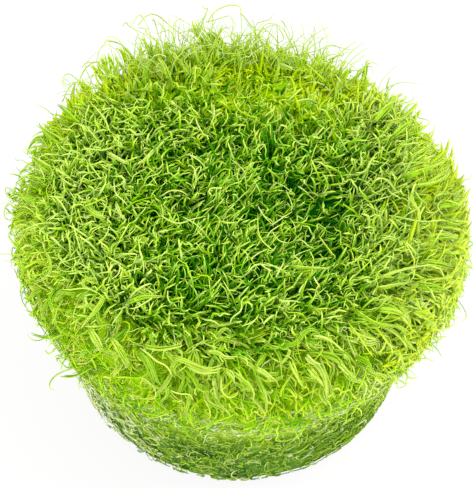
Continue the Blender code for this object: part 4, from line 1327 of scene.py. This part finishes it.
# the long threads of the fringe behind the rim: half the width in mm, then places from one end to the other
fringe = {
    "seed": 6, "tint": 0.76, "tintSpread": 0.14, "tintRange": (0.05, 0.95), "sway": 0.9, "thickness": 1.3,
    "rootLift": -4.0, "onFanFrom": 0.35, "farthest": (54.6, 62.2),
    "rows": (
        (0.11, 122, 14, 128, 26, 140, 32, 150, 38, 154, 52), (0.12, 132, 13, 140, 14, 146, 22, 150, 34, 153, 50),
        (0.13, 138, 17, 152, 12, 162, 18, 172, 28, 180, 33, 190, 42, 196, 56), (0.1, 134, 58, 136, 40, 140, 32),
        (0.12, 152, 14, 156, 26, 160, 40, 170, 52), (0.11, 174, 56, 173, 38, 174, 22, 179, 20),
        (0.1, 180, 33, 188, 31, 196, 34, 208, 48), (0.14, 200, 50, 201, 24, 209, 8, 203, 9, 202, 3),
        (0.12, 206, 22, 218, 19, 230, 15, 233, 22, 231, 46),
        (0.13, 208, 22, 212, 12, 224, 6, 238, 3, 242, 9, 240, 18, 243, 30, 240, 50),
        (0.12, 240, 10, 248, 22, 256, 31, 266, 30, 272, 23, 280, 28, 288, 44),
        (0.11, 256, 40, 264, 24, 276, 24, 286, 32, 296, 52), (0.1, 281, 20, 286, 26, 290, 36, 292, 54),
        (0.13, 302, 50, 308, 40, 319, 32, 333, 25), (0.11, 300, 60, 309, 48, 322, 40, 334, 30),
        (0.12, 330, 62, 344, 50, 357, 40), (0.11, 328, 60, 342, 54, 356, 51),
        (0.2, 104, 40, 116, 42, 126, 48, 136, 62), (0.12, 96, 62, 100, 48, 108, 44, 120, 54, 124, 70),
        (0.14, 78, 84, 84, 70, 94, 62, 104, 66), (0.14, 62, 102, 70, 86, 80, 82),
        (0.12, 356, 84, 362, 70, 372, 62, 380, 66), (0.14, 384, 100, 392, 86, 402, 82),
        (0.11, 128, 60, 122, 44, 112, 36, 104, 40), (0.1, 150, 50, 142, 44, 136, 30, 126, 18),
        (0.1, 166, 54, 160, 36, 164, 24, 160, 15), (0.1, 188, 52, 184, 42, 190, 30, 184, 24),
        (0.11, 218, 52, 222, 38, 216, 28, 222, 20), (0.1, 236, 52, 230, 36, 236, 24, 228, 16),
        (0.1, 250, 54, 252, 44, 246, 34, 250, 24), (0.1, 270, 54, 266, 42, 274, 32, 268, 26),
        (0.11, 312, 60, 306, 48, 314, 38, 308, 32), (0.12, 210, 54, 206, 42, 196, 36, 192, 24),
    ),
    "tufts": (
        (153, 74, 154, 56, 153, 36), (160, 76, 158, 60, 157, 44), (186, 76, 181, 60, 173, 46),
        (204, 76, 200, 60, 195, 46), (214, 66, 206, 42, 196, 30, 190, 20), (236, 72, 224, 50, 213, 36, 203, 28),
        (230, 76, 226, 60, 223, 45), (256, 74, 257, 56, 256, 42), (279, 78, 281, 62, 283, 47),
        (136, 74, 127, 56, 117, 44), (242, 70, 240, 52, 233, 34), (300, 80, 303, 62, 308, 50),
        (322, 84, 325, 68, 330, 56), (112, 78, 108, 64, 104, 52), (110, 88, 100, 74, 92, 62),
        (96, 102, 84, 88, 76, 78), (144, 78, 140, 60, 144, 44), (168, 74, 168, 56, 163, 40),
        (246, 78, 248, 58, 244, 40), (268, 76, 272, 58, 270, 42), (292, 80, 292, 64, 297, 48),
        (312, 84, 316, 66, 320, 50), (338, 92, 344, 78, 350, 66), (352, 102, 362, 88, 372, 78),
    ),
    "tuftTint": 0.66, "tuftTintSpread": 0.05, "tuftTintRange": (0.3, 0.9),
    "tuftApart": 1.4, "tuftEach": 10, "tuftWidth": 0.3, "tuftWidthShares": (0.7, 1.3),
}


# the way to the camera from each path
def towardsCamera(paths):
    return unit(np.array(camera.location / mm) - paths[:, 3])


def makeShownLocks():
    look = shownLocks
    chance = np.random.default_rng(look["seed"])
    rows, steps = look["rows"], threadStrand["steps"]
    paths = np.array([drawnPath(row[3:], steps, placeOnPlug, row[2] * look["liftShare"]) for row in rows])
    apart = np.array([row[0] for row in rows]) * look["apartShare"]
    away = towardsCamera(paths)
    paths[:, 0] -= away * look["rootDepth"]
    paths = spreadLocks(paths, away, look["each"], apart, chance)
    total = len(paths)
    tints = np.tile([row[1] for row in rows], look["each"]) - look["darker"]
    tints = np.clip(tints + chance.normal(0, look["tintSpread"], total), *look["tintRange"])
    repeatAlong(
        "shownLocks", threadStrand, keepIn(paths), chance.normal(0, 1, (total, 3)), drawWidths(look, total, chance),
        tints, lockGreen, chance.normal(0, look["twist"], total),
    )


def makeShownThreads():
    rows, steps = shownThreads["rows"], threadStrand["steps"]
    paths = np.array([drawnPath(row[3:], steps, placeOnPlug, row[2]) for row in rows])
    across = towardsCamera(paths)
    paths[:, 0] -= across * shownThreads["rootDepth"]
    widths, tints = (np.array([row[k] for row in rows]) for k in (0, 1))
    repeatAlong("shownThreads", threadStrand, keepIn(paths), across, widths, tints, leafGreen)


# each strand of the fringe leaves the plug and leans out onto the fan
def fringePaths(rows, steps, chance):
    share = np.minimum(np.linspace(0, 1, steps + 1)[:, None] / fringe["onFanFrom"], 1)
    paths = []
    for row in rows:
        rooted = drawnPath(row, steps, placeOnPlug, fringe["rootLift"])
        paths.append(rooted + (drawnPath(row, steps, placeOnFan, chance.normal(0, fringe["sway"])) - rooted) * share)
    return endedInside(np.array(paths))


def endedInside(paths):
    paths[..., 1:] = np.minimum(paths[..., 1:], fringe["farthest"])
    return paths


def makeFringe():
    look = fringe
    chance = np.random.default_rng(look["seed"])
    paths = fringePaths([row[1:] for row in look["rows"]], longStrand["steps"], chance)
    widths = np.array([row[0] for row in look["rows"]]) * look["thickness"]
    tints = np.clip(chance.normal(look["tint"], look["tintSpread"], len(widths)), *look["tintRange"])
    across = chance.normal(0, 1, (len(paths), 3))
    repeatAlong("fringe", longStrand, paths, across, widths, tints, runnerPale)
    tufts = fringePaths(look["tufts"], curlStrand["steps"], chance)
    tufts = endedInside(spreadLocks(tufts, towardsCamera(tufts), look["tuftEach"], look["tuftApart"], chance))
    total = len(tufts)
    tints = np.clip(chance.normal(look["tuftTint"], look["tuftTintSpread"], total), *look["tuftTintRange"])
    repeatAlong(
        "fringeTufts", curlStrand, tufts, chance.normal(0, 1, (total, 3)),
        look["tuftWidth"] * chance.uniform(*look["tuftWidthShares"], total), tints, fusedGreen,
    )


makeShownLocks()
makeShownThreads()
makeFringe()

# powers in watts; lamps: name, place in m, width in m, power
stage = {
    "floor": (250, 250, 250), "floorSize": 6, "below": 0.0002, "whiteShare": 0.88, "sky": 1.08, "aim": (0, 0, 0.04),
    "lamps": (("keyLight", (0.42, 0.02, 0.72), 0.5, 4.0), ("fillLight", (-0.4, -0.6, 0.35), 0.6, 2.0)),
}


def seenRays(wires):
    rays = wires.add("ShaderNodeLightPath")
    return rays.out("Is Camera Ray").larger(rays.out("Is Glossy Ray")).larger(rays.out("Is Transmission Ray"))


def makeStage():
    deselect()
    bpy.ops.mesh.primitive_plane_add(size=stage["floorSize"], location=(0, 0, -stage["below"]))
    floor = bpy.context.object
    floor.name = "floor"
    material, wires = newMaterial("pale floor")
    plain = wires.add("ShaderNodeBsdfDiffuse", {}, {"Color": colour(*stage["floor"])})
    white = wires.add("ShaderNodeEmission", {}, {"Color": (1, 1, 1, 1), "Strength": 1.0})
    shown = wires.add("ShaderNodeMixShader", {}, {0: seenRays(wires) * stage["whiteShare"], 1: plain, 2: white})
    wires.add("ShaderNodeOutputMaterial", {}, {"Surface": shown})
    floor.data.materials.append(material)

    world = bpy.data.worlds.new("studio")
    bpy.context.scene.world = world
    world.use_nodes = True
    world.node_tree.nodes.clear()
    wires = Wire(world.node_tree)
    sky = wires.add("ShaderNodeBackground", {}, {"Color": (1, 1, 1, 1), "Strength": stage["sky"]})
    white = wires.add("ShaderNodeBackground", {}, {"Color": (1, 1, 1, 1), "Strength": 1.0})
    shown = wires.add("ShaderNodeMixShader", {}, {0: seenRays(wires), 1: sky, 2: white})
    wires.add("ShaderNodeOutputWorld", {}, {"Surface": shown})

    for name, spot, size, power in stage["lamps"]:
        data = bpy.data.lights.new(name, "AREA")
        data.size = size
        data.energy = power
        lamp = bpy.data.objects.new(name, data)
        lamp.location = spot
        lamp.rotation_euler = (Vector(stage["aim"]) - Vector(spot)).to_track_quat("-Z", "Y").to_euler()
        bpy.context.scene.collection.objects.link(lamp)
    bpy.context.scene.view_settings.view_transform = "Standard"
    print("stage and lights set")


makeStage()

bpy.context.view_layer.update()
